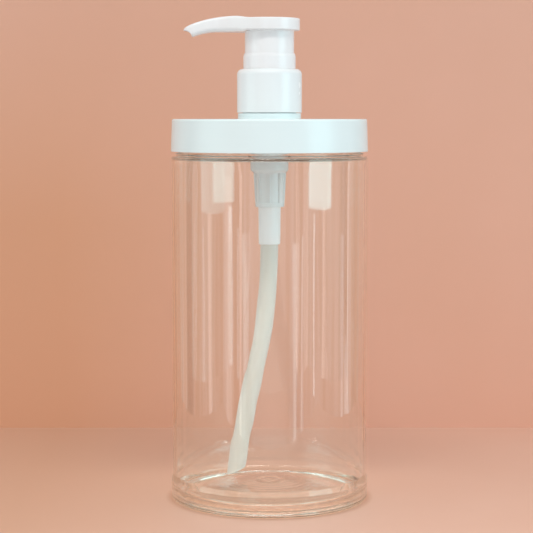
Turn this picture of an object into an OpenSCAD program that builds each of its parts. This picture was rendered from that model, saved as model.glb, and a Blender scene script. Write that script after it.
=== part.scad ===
// Soap pump dispenser: a one-litre clear jar with a wide screw lid, and a hand pump screwed
// on the threaded neck in the middle of that lid. Millimetres, +Z up, origin at the centre of
// the jar's foot, spout towards -X.

/* [Jar] */
// Outside diameter of the straight body
jar_d = 92.6; // [80:0.2:120]
// Height of the shoulder above the table
jar_shoulder_h = 163.2; // [150:0.2:220]
// Wall thickness of the body
jar_wall_t = 1.2; // [0.8:0.1:2]
// How far the foot stands out past the body, all round
jar_foot_proud = 0.7; // [0:0.1:1.5]
// Height up to which the foot is full width
jar_foot_h = 9; // [6:0.5:16]
// Height of the taper between the foot and the straight body
jar_foot_taper_h = 3.5; // [1:0.1:8]
// Radius of the heel, from the side wall to the standing ring
jar_heel_r = 1.6; // [0.6:0.1:4]
// Radius of the heel inside the jar
jar_in_heel_r = 5.5; // [4:0.1:7]
// Height of the valley inside the standing ring
jar_valley_z = 2.4; // [1.2:0.1:3]
// Width of the flat ring on which the jar stands, inside its heel
jar_ring_w = 4.6; // [3:0.1:7]
// Width of the slope between that ring and the raised panel
jar_slope_w = 4; // [2:0.1:6]
// Height that the slope gains
jar_slope_h = 0.6; // [0.2:0.1:1]
// Height of the panel's edge, at the top of its sharp step
jar_panel_step = 1.5; // [1.2:0.1:3]
// Height of the crown of the raised panel above the table
jar_push_up = 6.6; // [4:0.1:12]
// Thickness of the base
jar_base_t = 2; // [1.5:0.1:3.5]
// Radius of the shoulder
jar_shoulder_r = 1.6; // [0.6:0.1:3]
// Radius of the corner inside the shoulder
jar_in_shoulder_r = 0.9; // [0.4:0.1:2.8]
// How much smaller the neck's wall is than the body, on the radius
jar_neck_inset = 3.1; // [2.8:0.1:4.2]
// Wall thickness of the neck
jar_neck_t = 1.3; // [1:0.1:2.5]
// Height of the neck above the shoulder
jar_neck_h = 14.4; // [11:0.2:20]
// Depth of the neck's thread, and of the bead at its root
jar_thread_t = 1.25; // [0.8:0.05:1.6]
// Height of the bead at the root of the neck
jar_bead_h = 1.5; // [0.8:0.1:2]

/* [Lid] */
// Gap between the thread on the jar and the inside of the lid
lid_gap = 0.55; // [0.3:0.05:1.2]
// Wall thickness of the lid at its lower edge
lid_wall_t = 1.5; // [1:0.1:2.5]
// How much smaller the lid is at the top than at the bottom, on the radius
lid_draft = 0.5; // [0:0.1:0.8]
// Thickness of the lid's top
lid_top_t = 2; // [1.5:0.1:3]
// Gap between the lid's lower edge and the shoulder of the jar
lid_shoulder_gap = 2.2; // [1.6:0.1:4]
// Radius of the lid's top edge
lid_edge_r = 0.8; // [0.3:0.1:1.4]
// Thickness of the foam wad under the lid
liner_t = 1; // [0.6:0.1:2]
// Diameter of the round boss under the pump
boss_d = 29.8; // [29:0.1:34]
// Height of that boss
boss_h = 2.75; // [1.5:0.05:5]
// Outside diameter of the pump neck, under its thread
pump_neck_d = 25.2; // [24.4:0.1:25.6]
// Height of the pump neck above the boss
pump_neck_h = 15.25; // [11:0.05:20]
// Bore of the pump neck
pump_neck_bore_d = 21.2; // [20:0.1:22.4]

/* [Collar] */
// Outside diameter of the collar
collar_d = 30.5; // [29.9:0.1:34]
// Wall thickness of the collar
collar_wall_t = 1.25; // [0.8:0.05:1.4]
// Thickness of the collar's top
collar_top_t = 1.6; // [1:0.1:2.4]
// Radius of the collar's shoulder
collar_edge_r = 1.9; // [0.5:0.1:2.2]
// Seam between the collar and the boss
collar_seam = 0.4; // [0.2:0.1:1]
// Thickness of the washer under the pump's flange
gasket_t = 1; // [0.6:0.1:1.6]

/* [Guide ring] */
// Outside diameter of the ring
ring_d = 24.6; // [24.4:0.1:24.9]
// Height of the ring above the collar
ring_h = 7.25; // [6:0.05:12]
// Height of the tapered lip at the top of the ring
ring_lip_h = 1.4; // [0.6:0.1:2.4]
// Thickness of that lip at its edge
ring_lip_t = 0.25; // [0.1:0.05:0.4]
// Width of the ring's flange, clamped under the collar's top
ring_flange_w = 0.9; // [0.6:0.1:1.1]
// Thickness of that flange
ring_flange_t = 1.6; // [1.2:0.1:2.4]
// Thickness of the ring's floor
ring_floor_t = 0.8; // [0.6:0.1:1]
// Height of the stem's guide above the floor
hub_h = 2.2; // [1:0.1:2.2]
// Length of the stem's guide below the floor
hub_drop = 22.9; // [18:0.1:22.9]
// Wall thickness of the stem's guide
hub_wall_t = 1.3; // [0.8:0.1:1.8]
// Depth of the plug that closes the top of the housing
plug_h = 4.8; // [3:0.1:8]
// Wall thickness of that plug
plug_wall_t = 1.1; // [0.8:0.1:1.5]

/* [Housing] */
// Outside diameter of the barrel
barrel_d = 18; // [17:0.1:19.6]
// Wall thickness of the barrel
barrel_wall_t = 1.2; // [0.8:0.1:1.5]
// Length of the barrel below its flange
barrel_len = 43.1; // [43.1:0.1:50]
// Thickness of the flange that rests on the lid's neck
flange_t = 1.2; // [0.8:0.1:2]
// Height of the cone between the barrel and the ribbed part
cone_h = 1.3; // [0.8:0.1:3]
// Length of the ribbed part
ribbed_len = 16; // [14:0.1:18]
// Diameter over the ribs at the top
ribs_top_d = 15.2; // [14.2:0.1:16]
// Diameter over the ribs, and of the rim, at the bottom
ribs_low_d = 13.5; // [13.2:0.1:14]
// Diameter of the core that carries the ribs
core_d = 12.9; // [12.6:0.1:13.1]
// Bore of that core
core_bore_d = 11.2; // [11:0.1:11.6]
// Number of ribs
rib_count = 8; // [4:1:12]
// Thickness of one rib
rib_t = 0.9; // [0.6:0.1:1.4]
// Height of the rim under the ribs
rim_h = 2; // [1:0.1:3]

/* [Valve body] */
// Diameter of the valve body where it leaves the housing
valve_top_d = 10.7; // [10.4:0.1:11]
// Diameter of the valve body at its lower end
valve_low_d = 10.2; // [10.1:0.1:10.6]
// Length of the valve body below the housing
valve_len = 17.8; // [14:0.1:24]
// Length of the valve body pushed into the housing
valve_plug_h = 6.8; // [6.4:0.1:7.4]
// Depth of the socket for the dip tube
socket_h = 13; // [9:0.1:13.4]
// Diameter of the inlet ball
ball_d = 4.76; // [4.4:0.02:5]
// Drop of the ball's seat below the housing
seat_drop = 3.2; // [2.6:0.1:3.6]
// Bore under the ball
inlet_d = 3.2; // [2.4:0.1:3.2]
// Diameter of the chamber around the ball
ball_room_d = 6.4; // [6:0.1:6.8]
// How far the ball can lift
ball_lift = 1.6; // [1:0.1:2]
// Thickness of the three ribs that stop the ball
stop_rib_t = 0.8; // [0.6:0.1:1]

/* [Dip tube] */
// Outside diameter of the dip tube
tube_d = 8.5; // [8:0.1:8.6]
// Wall thickness of the dip tube
tube_wall_t = 1; // [0.6:0.1:1.4]
// Lean of the dip tube below its bend, in degrees
tube_lean = 12.5; // [4:0.5:14]
// Height over which the dip tube bends
tube_bend_h = 60; // [30:1:80]
// How far the dip tube straightens again towards its end, in degrees
tube_relax = 5.5; // [0:0.5:8]
// Height over which it straightens
tube_relax_h = 35; // [10:1:40]
// Slant of the dip tube's cut end, in degrees
tube_cut = 30; // [0:1:45]
// Clearance between the dip tube's end and the base of the jar
tube_end_gap = 1.2; // [0.5:0.1:8]

/* [Plunger] */
// Travel of the head
stroke = 8.4; // [6:0.1:8.4]
// Outside diameter of the stem
stem_d = 8; // [7.2:0.1:8.2]
// Bore of the stem
stem_bore_d = 5.2; // [4.6:0.1:5.6]
// Diameter of the stem's shoulder
stem_shoulder_d = 10.4; // [9.8:0.1:11]
// Thickness of the stem's shoulder
stem_shoulder_t = 1.3; // [0.8:0.1:1.6]
// Diameter of the two ports in the stem
port_d = 2; // [1.4:0.1:2.2]
// Height of the ports above the rod's disc
port_rise = 0.5; // [0.2:0.1:1.5]
// Height of the piston
piston_h = 8; // [7:0.1:8.4]
// Thickness of the piston's sleeve and lips
piston_lip_t = 1.1; // [0.8:0.1:1.3]
// Height of each lip's rubbing land
piston_land_h = 1.2; // [0.6:0.1:1.6]
// Relief between the two lands, on the radius
piston_relief = 0.5; // [0.2:0.1:0.6]
// Thickness of the web between the sleeve and the lips
piston_web_t = 1.6; // [1:0.1:2]
// Gap left under the piston when the head is down
piston_floor_gap = 0.8; // [0.4:0.1:2]
// Play of the piston between the rod's disc and the stem's shoulder
piston_play = 1; // [0.6:0.1:1.2]
// Diameter of the rod's disc, which carries the piston
rod_disc_d = 10.4; // [9.8:0.1:10.8]
// Thickness of that disc
rod_disc_t = 1.2; // [0.8:0.1:1.6]
// Diameter of the pin that centres the spring
rod_pin_d = 5.2; // [4:0.1:6.4]
// Length of that pin
rod_pin_h = 9; // [5:0.1:10]
// Length of the rod inside the stem
rod_shank_h = 9; // [6:0.1:14]
// Thickness of the two crossed fins of the rod
fin_t = 0.8; // [0.5:0.1:1.2]
// Diameter of the spring's wire
wire_d = 0.9; // [0.6:0.05:1]
// Mean diameter of the spring
spring_d = 9; // [8.6:0.1:9.2]
// Working turns of the spring
spring_turns = 6; // [4:1:7]
// Gap between the spring's closed end turns
spring_end_gap = 0.07; // [0.04:0.01:0.1]

/* [Head] */
// Outside diameter of the skirt
skirt_d = 23.1; // [22.6:0.1:23.1]
// Wall thickness of the skirt
skirt_wall_t = 1; // [0.8:0.1:1.6]
// Height of the skirt between its lower edge and the plate
skirt_h = 11.6; // [11:0.05:16]
// Depth of the skirt inside the ring at rest
skirt_engage = 0.9; // [0.5:0.1:1]
// Radius of the round finger plate
plate_r = 14.3; // [13:0.1:17]
// Thickness of the finger plate
plate_t = 5.6; // [5:0.1:8]
// Reach of the beak from the pump's axis
beak_reach = 40.5; // [38:0.1:46]
// Half of the beak's width at its tip
beak_half_w = 5.2; // [4:0.1:6]
// Height of the hump at the root of the beak, above the plate
hump_h = 0.95; // [0:0.05:2]
// Distance of the hump from the pump's axis
hump_reach = 16; // [14:0.5:20]
// Distance of the hump's start from the pump's axis
hump_start = 8.6; // [4:0.2:12]
// Distance from the axis at which the plate starts to narrow to the beak
narrow_start = 2; // [0:0.5:6]
// Length over which it narrows
narrow_len = 22; // [16:0.5:26]
// Radius of the beak's falling top
beak_top_r = 58; // [48:1:90]
// Drop of the beak's underside below the plate
beak_drop = 0.7; // [0.4:0.1:2]
// Length over which the underside drops, outwards from the skirt
beak_drop_len = 2; // [1:0.1:5]
// Distance from the axis at which the beak's underside starts to fall
beak_fall_reach = 24; // [20:0.5:28]
// Radius of the beak's falling underside
beak_under_r = 33; // [28:1:60]
// Radius of the scooped mouth
scoop_r = 3.9; // [3:0.1:4.5]
// Distance of the scoop's centre behind the beak's tip
scoop_back = 0.5; // [0:0.1:2]
// Height of the scoop's centre above the beak's underside there
scoop_up = 1.2; // [0.6:0.1:2]
// Radius of the plate's edges
plate_edge_r = 0.5; // [0.2:0.1:1.2]
// Radius of the beak's upper edges
beak_top_edge_r = 1.4; // [0.6:0.1:2]
// Radius of the beak's lower edges
beak_low_edge_r = 2; // [0.6:0.1:2.4]
// Height of the outlet's axis above the plate's underside
outlet_rise = 2.5; // [2.2:0.1:3.4]
// Bore of the outlet channel
outlet_d = 3.2; // [2.4:0.1:3.4]
// Fall of the outlet down the beak, in degrees
outlet_tip = 13; // [8:1:16]
// Wall thickness of the stem's socket
socket_wall_t = 1.3; // [1:0.1:2]
// Depth of the stem's socket
stem_socket_h = 7.4; // [5:0.1:8]
// Drop of the stem's top below the plate
stem_drop = 1.8; // [1:0.1:3]

/* [Fits] */
// Clearance between pieces pushed together, on the radius
push_fit = 0.05; // [0.02:0.01:0.06]
// Clearance of the running fits, on the radius
run_fit = 0.1; // [0.06:0.01:0.1]
// Clearance between the skirt and the ring, and where pieces pass, on the radius
free_fit = 0.15; // [0.1:0.05:0.3]
// Gap left at the end of each stroke
stop_gap = 0.3; // [0.2:0.05:0.4]

/* [Hidden] */
$fn = 96;
arc_steps = 6;
dome_steps = 8;
// Small chamfer at the root of a bead, a rim or a lip
chamfer = 0.4;
// Extra length of cuts and of hidden joins
overlap = 1;

// Jar
jar_r = jar_d / 2;
jar_in_r = jar_r - jar_wall_t;
jar_foot_r = jar_r + jar_foot_proud;
jar_ring_in_r = jar_foot_r - jar_heel_r - jar_ring_w;
jar_panel_d = 2 * (jar_ring_in_r - jar_slope_w);
jar_panel_r = jar_panel_d / 2;
jar_neck_d = jar_d - 2 * jar_neck_inset;
jar_neck_r = jar_neck_d / 2;
jar_bore_r = jar_neck_r - jar_neck_t;
jar_rim_z = jar_shoulder_h + jar_neck_h;
jar_floor_z = jar_push_up + jar_base_t;

// Lid
lid_in_r = jar_neck_r + jar_thread_t + lid_gap;
lid_r = lid_in_r + lid_wall_t;
lid_low_z = jar_shoulder_h + lid_shoulder_gap;
lid_ceiling_z = jar_rim_z + liner_t;
lid_top_z = lid_ceiling_z + lid_top_t;
boss_top_z = lid_top_z + boss_h;
pump_neck_top_z = boss_top_z + pump_neck_h;

// Stack clamped by the collar
flange_z = pump_neck_top_z + gasket_t;
ring_z = flange_z + flange_t;
collar_ceiling_z = ring_z + ring_flange_t;
collar_top_z = collar_ceiling_z + collar_top_t;
collar_low_z = boss_top_z + collar_seam;
collar_bore_r = collar_d / 2 - collar_wall_t;
ring_r = ring_d / 2;
ring_flange_r = ring_r + ring_flange_w;
ring_top_z = collar_top_z + ring_h;
ring_floor_z = ring_z + ring_floor_t;
skirt_r = skirt_d / 2;
ring_bore_r = skirt_r + free_fit;

// Housing and valve body
barrel_r = barrel_d / 2;
barrel_bore_r = barrel_r - barrel_wall_t;
barrel_low_z = flange_z - barrel_len;
barrel_floor_z = barrel_low_z + barrel_wall_t;
ribs_top_z = barrel_low_z - cone_h;
housing_low_z = ribs_top_z - ribbed_len;
core_bore_r = core_bore_d / 2;
valve_plug_r = core_bore_r - push_fit;
valve_top_z = housing_low_z + valve_plug_h;
valve_low_z = housing_low_z - valve_len;
socket_top_z = valve_low_z + socket_h;
inlet_r = inlet_d / 2;
ball_r = ball_d / 2;
ball_room_r = ball_room_d / 2;
seat_z = housing_low_z - seat_drop;
seat_h = ball_room_r - inlet_r;
ball_contact_r = ball_r * sin(45);
ball_z = seat_z + 2 * ball_contact_r - inlet_r + push_fit;
stop_rib_z = ball_z + ball_r + ball_lift + stop_gap;

// Plunger
stem_r = stem_d / 2;
stem_bore_r = stem_bore_d / 2;
hub_bore_r = stem_r + run_fit;
hub_r = hub_bore_r + hub_wall_t;
hub_top_z = ring_floor_z + hub_h;
hub_low_z = ring_z - hub_drop;
plug_r = barrel_bore_r - push_fit;
piston_z = barrel_floor_z + stroke + piston_floor_gap;
piston_top_z = piston_z + piston_h;
piston_bore_r = stem_r + run_fit;
piston_r = barrel_bore_r - run_fit;
shoulder_low_z = piston_top_z + piston_play + stop_gap;
rod_disc_r = rod_disc_d / 2;
rod_disc_z = piston_z - rod_disc_t;

// Spring
wire_r = wire_d / 2;
spring_end_rise = wire_d + spring_end_gap;
spring_work_rise = rod_disc_z - valve_top_z - wire_d - 2 * spring_end_rise;

// Head
skirt_low_z = ring_top_z - skirt_engage;
plate_z = skirt_low_z + skirt_h;
plate_top_z = plate_z + plate_t;
stem_top_z = plate_z - stem_drop;
stem_socket_r = stem_r + push_fit;
stem_socket_low_z = stem_top_z - stem_socket_h;
outlet_r = outlet_d / 2;
outlet_z = plate_z + outlet_rise;
outlet_knee_x = -beak_fall_reach;

// Dip tube
tube_r = tube_d / 2;
tube_bore_r = tube_r - tube_wall_t;
tube_socket_r = tube_r + push_fit;
tube_end_z = jar_floor_z + tube_end_gap;
tube_fall_h = valve_low_z - tube_end_z;

// Points of an arc about c from angle a to angle b, both ends included
function arc(c, r, a, b, n = arc_steps) = [
    for (i = [0:n])
        let(t = a + (b - a) * i / n)
            c + r * [cos(t), sin(t)],
];
// Rises smoothly from 0 to 1 as t goes from 0 to 1
function ease(t) = let(u = min(max(t, 0), 1)) u * u * (3 - 2 * u);
// Height on a flat dome of radius r whose crown is at h and whose edge is at e
function dome(x, r, h, e) = let(s = (r * r + (h - e) * (h - e)) / (2 * (h - e))) h - s + sqrt(s * s - x * x);

// Blown jar: wide neck, straight wall, rounded heel and a raised panel inside the standing ring
module jar() {
    under = [
        for (i = [0:dome_steps])
            let(x = jar_panel_r * i / dome_steps)
                [x, dome(x, jar_panel_r, jar_push_up, jar_panel_step)],
    ];
    ring_out_r = jar_foot_r - jar_heel_r;
    valley_r = jar_in_r - jar_in_heel_r;
    floor_pts = [
        for (i = [dome_steps:-1:0])
            let(x = jar_panel_r * i / dome_steps)
                [x, dome(x, jar_panel_r, jar_floor_z, jar_panel_step + jar_base_t)],
    ];
    color("lightcyan", 0.35) rotate_extrude() polygon(concat(
        under,
        [[jar_panel_r, jar_slope_h]],
        [[jar_ring_in_r, 0]],
        arc([ring_out_r, jar_heel_r], jar_heel_r, -90, 0),
        [[jar_foot_r, jar_foot_h]],
        [[jar_r, jar_foot_h + jar_foot_taper_h]],
        arc([jar_r - jar_shoulder_r, jar_shoulder_h - jar_shoulder_r], jar_shoulder_r, 0, 90),
        [[jar_neck_r + jar_thread_t, jar_shoulder_h]],
        [[jar_neck_r + jar_thread_t, jar_shoulder_h + jar_bead_h]],
        [[jar_neck_r, jar_shoulder_h + jar_bead_h + chamfer]],
        [[jar_neck_r, jar_rim_z]],
        [[jar_bore_r, jar_rim_z]],
        [[jar_bore_r, jar_shoulder_h - jar_wall_t]],
        arc([jar_in_r - jar_in_shoulder_r, jar_shoulder_h - jar_wall_t - jar_in_shoulder_r], jar_in_shoulder_r, 90, 0),
        arc([valley_r, jar_valley_z + jar_in_heel_r], jar_in_heel_r, 0, -90),
        floor_pts
    ));
}

// Moulded lid: drafted skirt, flat top, boss and pump neck
module lid() {
    top_r = lid_r - lid_draft;
    color("white") rotate_extrude() polygon(concat(
        [[lid_in_r, lid_low_z], [lid_r, lid_low_z]],
        arc([top_r - lid_edge_r, lid_top_z - lid_edge_r], lid_edge_r, 0, 90),
        [[boss_d / 2, lid_top_z], [boss_d / 2, boss_top_z]],
        [[pump_neck_d / 2, boss_top_z], [pump_neck_d / 2, pump_neck_top_z]],
        [[pump_neck_bore_d / 2, pump_neck_top_z], [pump_neck_bore_d / 2, lid_ceiling_z]],
        [[lid_in_r - lid_draft, lid_ceiling_z]]
    ));
}

// Foam wad, clamped between the rim of the jar and the lid
module lid_liner() {
    color("whitesmoke") translate([0, 0, jar_rim_z]) linear_extrude(liner_t) difference() {
        circle(lid_in_r - lid_draft - stop_gap);
        circle(pump_neck_bore_d / 2 + stop_gap);
    }
}

// Screw collar that clamps the pump to the lid's neck
module collar() {
    color("white") rotate_extrude() polygon(concat(
        [[collar_bore_r, collar_low_z], [collar_d / 2, collar_low_z]],
        arc([collar_d / 2 - collar_edge_r, collar_top_z - collar_edge_r], collar_edge_r, 0, 90),
        [[ring_r + stop_gap, collar_top_z], [ring_r + stop_gap, collar_ceiling_z]],
        [[collar_bore_r, collar_ceiling_z]]
    ));
}

// Washer between the lid's neck and the flange of the housing
module pump_gasket() {
    color("lightgray") translate([0, 0, pump_neck_top_z]) linear_extrude(gasket_t) difference() {
        circle(pump_neck_d / 2 + stop_gap);
        circle(barrel_r + push_fit);
    }
}

// Guide ring: outer ring for the skirt, floor, stem guide and the plug that closes the housing
module guide_ring() {
    plug_in_r = plug_r - plug_wall_t;
    color("white") rotate_extrude() polygon([
        [plug_r, ring_z], [ring_flange_r, ring_z], [ring_flange_r, collar_ceiling_z],
        [ring_r, collar_ceiling_z], [ring_r, ring_top_z - ring_lip_h],
        [ring_bore_r + ring_lip_t, ring_top_z], [ring_bore_r, ring_top_z], [ring_bore_r, ring_floor_z],
        [hub_r, ring_floor_z], [hub_r, hub_top_z], [hub_bore_r, hub_top_z],
        [hub_bore_r, hub_low_z], [hub_r, hub_low_z],
        [hub_r, ring_z], [plug_in_r, ring_z], [plug_in_r, ring_z - plug_h],
        [plug_r, ring_z - plug_h],
    ]);
}

// One tapered rib, standing on the housing's core and dying out at the rim
module housing_rib() {
    root_r = (core_bore_r + core_d / 2) / 2;
    rotate([90, 0, 0]) translate([0, 0, -rib_t / 2]) linear_extrude(rib_t) polygon([
        [root_r, housing_low_z], [ribs_low_d / 2, housing_low_z],
        [ribs_top_d / 2, ribs_top_z], [root_r, ribs_top_z],
    ]);
}

// Pump housing: flange, barrel, cone and ribbed spring chamber
module housing() {
    color("gainsboro", 0.8) union() {
        rotate_extrude() polygon([
            [core_bore_r, housing_low_z], [ribs_low_d / 2, housing_low_z],
            [ribs_low_d / 2, housing_low_z + rim_h], [core_d / 2, housing_low_z + rim_h + chamfer],
            [core_d / 2, ribs_top_z], [ribs_top_d / 2, ribs_top_z],
            [barrel_r, barrel_low_z], [barrel_r, flange_z],
            [ring_flange_r, flange_z], [ring_flange_r, ring_z], [barrel_bore_r, ring_z],
            [barrel_bore_r, barrel_floor_z], [core_bore_r, barrel_floor_z - cone_h],
        ]);
        for (i = [0:rib_count - 1]) rotate([0, 0, 360 * i / rib_count - 90]) housing_rib();
    }
}

// Valve body: ball seat and chamber above, socket for the dip tube below
module valve_body() {
    color("white") union() {
        rotate_extrude() polygon([
            [tube_socket_r, valve_low_z], [valve_low_d / 2, valve_low_z],
            [valve_top_d / 2, housing_low_z], [valve_plug_r, housing_low_z],
            [valve_plug_r, valve_top_z], [ball_room_r, valve_top_z],
            [ball_room_r, seat_z + seat_h], [inlet_r, seat_z],
            [inlet_r, socket_top_z], [tube_socket_r, socket_top_z],
        ]);
        for (i = [0:2]) rotate([0, 0, 120 * i])
            translate([inlet_r, -stop_rib_t / 2, stop_rib_z])
                cube([valve_plug_r - inlet_r - chamfer, stop_rib_t, valve_top_z - stop_rib_z]);
    }
}

// Ball of the inlet valve, resting on its seat
module inlet_ball() {
    color("silver") translate([0, 0, ball_z]) sphere(ball_r);
}

// How far the dip tube's axis has moved towards -X at the depth d below its socket
function tube_shift(d) =
    let(bend = min(d, tube_bend_h), lower = max(d - tube_fall_h + tube_relax_h, 0))
        tan(tube_lean) * (bend * bend / (2 * tube_bend_h) + d - bend)
        - tan(tube_relax) * lower * lower / (2 * tube_relax_h);
// Angle of the dip tube's axis to the vertical at the depth d
function tube_angle(d) =
    let(bend = min(d, tube_bend_h), lower = max(d - tube_fall_h + tube_relax_h, 0))
        atan(tan(tube_lean) * bend / tube_bend_h - tan(tube_relax) * lower / tube_relax_h);
// Ring of the dip tube's wall at the depth d, cut at a slant
function tube_ring(d, r, slant, sides) = [
    for (i = [0:sides - 1])
        let(
            a = tube_angle(d),
            side = r * cos(360 * i / sides),
            along = side * tan(slant)
        )
            [
                -tube_shift(d) + side * cos(a) + along * sin(a),
                r * sin(360 * i / sides),
                valve_low_z - d - side * sin(a) + along * cos(a),
            ]
];

// Dip tube: straight in its socket, then gently bent down to a slanted end over the base
module dip_tube() {
    sides = 20;
    bend_rings = 18;
    end_depth = tube_fall_h - tube_r * tan(tube_cut);
    depths = concat([-socket_h], [for (i = [0:bend_rings]) end_depth * i / bend_rings]);
    last = len(depths) - 1;
    outer = [for (k = [0:last]) tube_ring(max(depths[k], 0), tube_r, k == last ? tube_cut : 0, sides)];
    inner = [for (k = [0:last]) tube_ring(max(depths[k], 0), tube_bore_r, k == last ? tube_cut : 0, sides)];
    lift = [0, 0, socket_h];
    points = [
        for (k = [0:last], p = outer[k]) k == 0 ? p + lift : p,
        for (k = [0:last], p = inner[k]) k == 0 ? p + lift : p,
    ];
    n = sides;
    m = n * len(depths);
    walls = [
        for (k = [0:last - 1], i = [0:n - 1])
            let(a = k * n + i, b = k * n + (i + 1) % n)
                each [[a, b, b + n, a + n], [m + b, m + a, m + a + n, m + b + n]],
    ];
    rims = [
        for (i = [0:n - 1])
            let(j = (i + 1) % n, e = last * n)
                each [[j, i, m + i, m + j], [e + i, e + j, m + e + j, m + e + i]],
    ];
    color("ghostwhite", 0.85) polyhedron(points, concat(walls, rims));
}

// Height of the wire's centre above the start of the coil after t turns
function spring_rise(t) =
    t < 1 ? spring_end_rise * t
    : t > spring_turns + 1 ? spring_end_rise * (t - spring_turns) + spring_work_rise
    : spring_end_rise + spring_work_rise * (t - 1) / spring_turns;

// Compression spring: closed end turns at wire pitch, open working turns between them
module spring() {
    sides = 8;
    steps = 16;
    rings = (spring_turns + 2) * steps;
    points = [
        for (i = [0:rings], j = [0:sides - 1])
            let(a = 360 * i / steps, b = 360 * j / sides, r = spring_d / 2 + wire_r * cos(b))
                [r * cos(a), r * sin(a), valve_top_z + wire_r + spring_rise(i / steps) + wire_r * sin(b)]
    ];
    skin = [
        for (i = [0:rings - 1], j = [0:sides - 1])
            let(a = i * sides + j, b = i * sides + (j + 1) % sides) [a, b, b + sides, a + sides]
    ];
    ends = [[for (j = [sides - 1:-1:0]) j], [for (j = [0:sides - 1]) rings * sides + j]];
    color("silver") polyhedron(points, concat(skin, ends));
}

// Piston: sleeve on the stem and two lips on the barrel, joined by a web at mid height
module piston() {
    sleeve_r = piston_bore_r + piston_lip_t;
    lip_in_r = piston_r - piston_lip_t;
    waist_r = piston_r - piston_relief;
    waist_h = piston_land_h + piston_relief;
    web_low = (piston_h - piston_web_t) / 2;
    web_top = (piston_h + piston_web_t) / 2;
    color("gainsboro") translate([0, 0, piston_z]) rotate_extrude() polygon([
        [piston_bore_r, 0], [sleeve_r, 0], [sleeve_r, web_low],
        [lip_in_r, web_low], [lip_in_r, 0], [piston_r, 0],
        [piston_r, piston_land_h], [waist_r, waist_h],
        [waist_r, piston_h - waist_h], [piston_r, piston_h - piston_land_h],
        [piston_r, piston_h], [lip_in_r, piston_h], [lip_in_r, web_top],
        [sleeve_r, web_top], [sleeve_r, piston_h], [piston_bore_r, piston_h],
    ]);
}

// Rod: finned shank in the stem, disc under the piston, pin inside the spring
module piston_rod() {
    fin_r = stem_bore_r - push_fit;
    color("white") {
        translate([0, 0, rod_disc_z - rod_pin_h]) cylinder(h = rod_pin_h, d = rod_pin_d);
        translate([0, 0, rod_disc_z]) cylinder(h = rod_disc_t, r = rod_disc_r);
        translate([0, 0, piston_z]) cylinder(h = rod_shank_h, r = fin_r / 2);
        intersection() {
            translate([0, 0, piston_z]) cylinder(h = rod_shank_h, r = fin_r);
            for (a = [0, 90]) rotate([0, 0, a])
                translate([-fin_r, -fin_t / 2, piston_z]) cube([2 * fin_r, fin_t, rod_shank_h]);
        }
    }
}

// Stem: carries the liquid from the ports above the rod's disc up to the head
module stem() {
    color("white") difference() {
        rotate_extrude() polygon([
            [stem_bore_r, piston_z], [stem_r, piston_z], [stem_r, shoulder_low_z],
            [stem_shoulder_d / 2, shoulder_low_z],
            [stem_shoulder_d / 2, shoulder_low_z + stem_shoulder_t],
            [stem_r, shoulder_low_z + stem_shoulder_t],
            [stem_r, stem_top_z], [stem_bore_r, stem_top_z],
        ]);
        translate([0, 0, piston_z + port_d / 2 + port_rise]) rotate([0, 90, 45])
            cylinder(h = 3 * stem_d, d = port_d, center = true);
    }
}

// Share of the way from the plate to the beak, at the place x
function beak_share(x) = ease((-x - hump_start) / (hump_reach - hump_start));
// Fall of a round end of radius r that starts at the reach s
function round_fall(x, s, r) = -x > s ? r - sqrt(r ^ 2 - (x + s) ^ 2) : 0;
// Height of the head's top at x
function head_top(x) = plate_top_z + hump_h * beak_share(x) - round_fall(x, hump_reach, beak_top_r);
// Height of the head's underside at x
function head_under(x) =
    plate_z - beak_drop * ease((-x - skirt_r + overlap) / beak_drop_len)
    - round_fall(x, beak_fall_reach, beak_under_r);
// Half of the head's width at x, between the plate's centre and the round tip
function head_half_w(x) = plate_r + (beak_half_w - plate_r) * ease((-x - narrow_start) / narrow_len);
// Radii of the head's lower and upper edges at x
function head_low_edge(x) = plate_edge_r + (beak_low_edge_r - plate_edge_r) * beak_share(x);
function head_top_edge(x) = plate_edge_r + (beak_top_edge_r - plate_edge_r) * beak_share(x);

beak_tip_x = -beak_reach + beak_half_w;
plate_steps = 8;
side_steps = 12;
tip_steps = 5;
head_half_outline = concat(
    arc([0, 0], plate_r, 0, 90, plate_steps),
    [for (i = [1:side_steps]) let(x = beak_tip_x * i / side_steps) [x, head_half_w(x)]],
    [for (i = [1:tip_steps]) arc([beak_tip_x, 0], beak_half_w, 90, 180, tip_steps)[i]]
);
head_count = len(head_half_outline);
head_outline = concat(
    head_half_outline,
    [for (i = [head_count - 2:-1:1]) [head_half_outline[i][0], -head_half_outline[i][1]]]
);

// One ring of the head's skin at angle a of its edge, on the lower or the upper side
function head_ring(a, upper) = [
    for (p = head_outline)
        let(
            r = upper ? head_top_edge(p[0]) : head_low_edge(p[0]),
            s = [min(max(p[0], beak_tip_x), 0), 0],
            q = p + (s - p) * r * (1 - sin(a)) / norm(s - p)
        )
            [q[0], q[1], upper ? head_top(q[0]) - r * (1 - cos(a)) : head_under(q[0]) + r * (1 - cos(a))]
];

// Skin of the finger plate and beak, closed by flat strips across the top and the underside
module head_skin() {
    rings = concat(
        [for (a = [0, 30, 60, 90]) head_ring(a, false)],
        [for (a = [90, 60, 30, 0]) head_ring(a, true)]
    );
    n = len(head_outline);
    m = head_count - 1;
    walls = [
        for (k = [0:len(rings) - 2], i = [0:n - 1])
            let(a = k * n + i, b = k * n + (i + 1) % n) [a, a + n, b + n, b]
    ];
    top = (len(rings) - 1) * n;
    under_caps = concat(
        [[0, 1, n - 1], [m - 1, m, m + 1]],
        [for (i = [1:m - 2]) [i, i + 1, n - i - 1, n - i]]
    );
    top_caps = [for (f = under_caps) [for (k = [len(f) - 1:-1:0]) top + f[k]]];
    polyhedron([for (r = rings, p = r) p], concat(walls, under_caps, top_caps));
}

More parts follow.
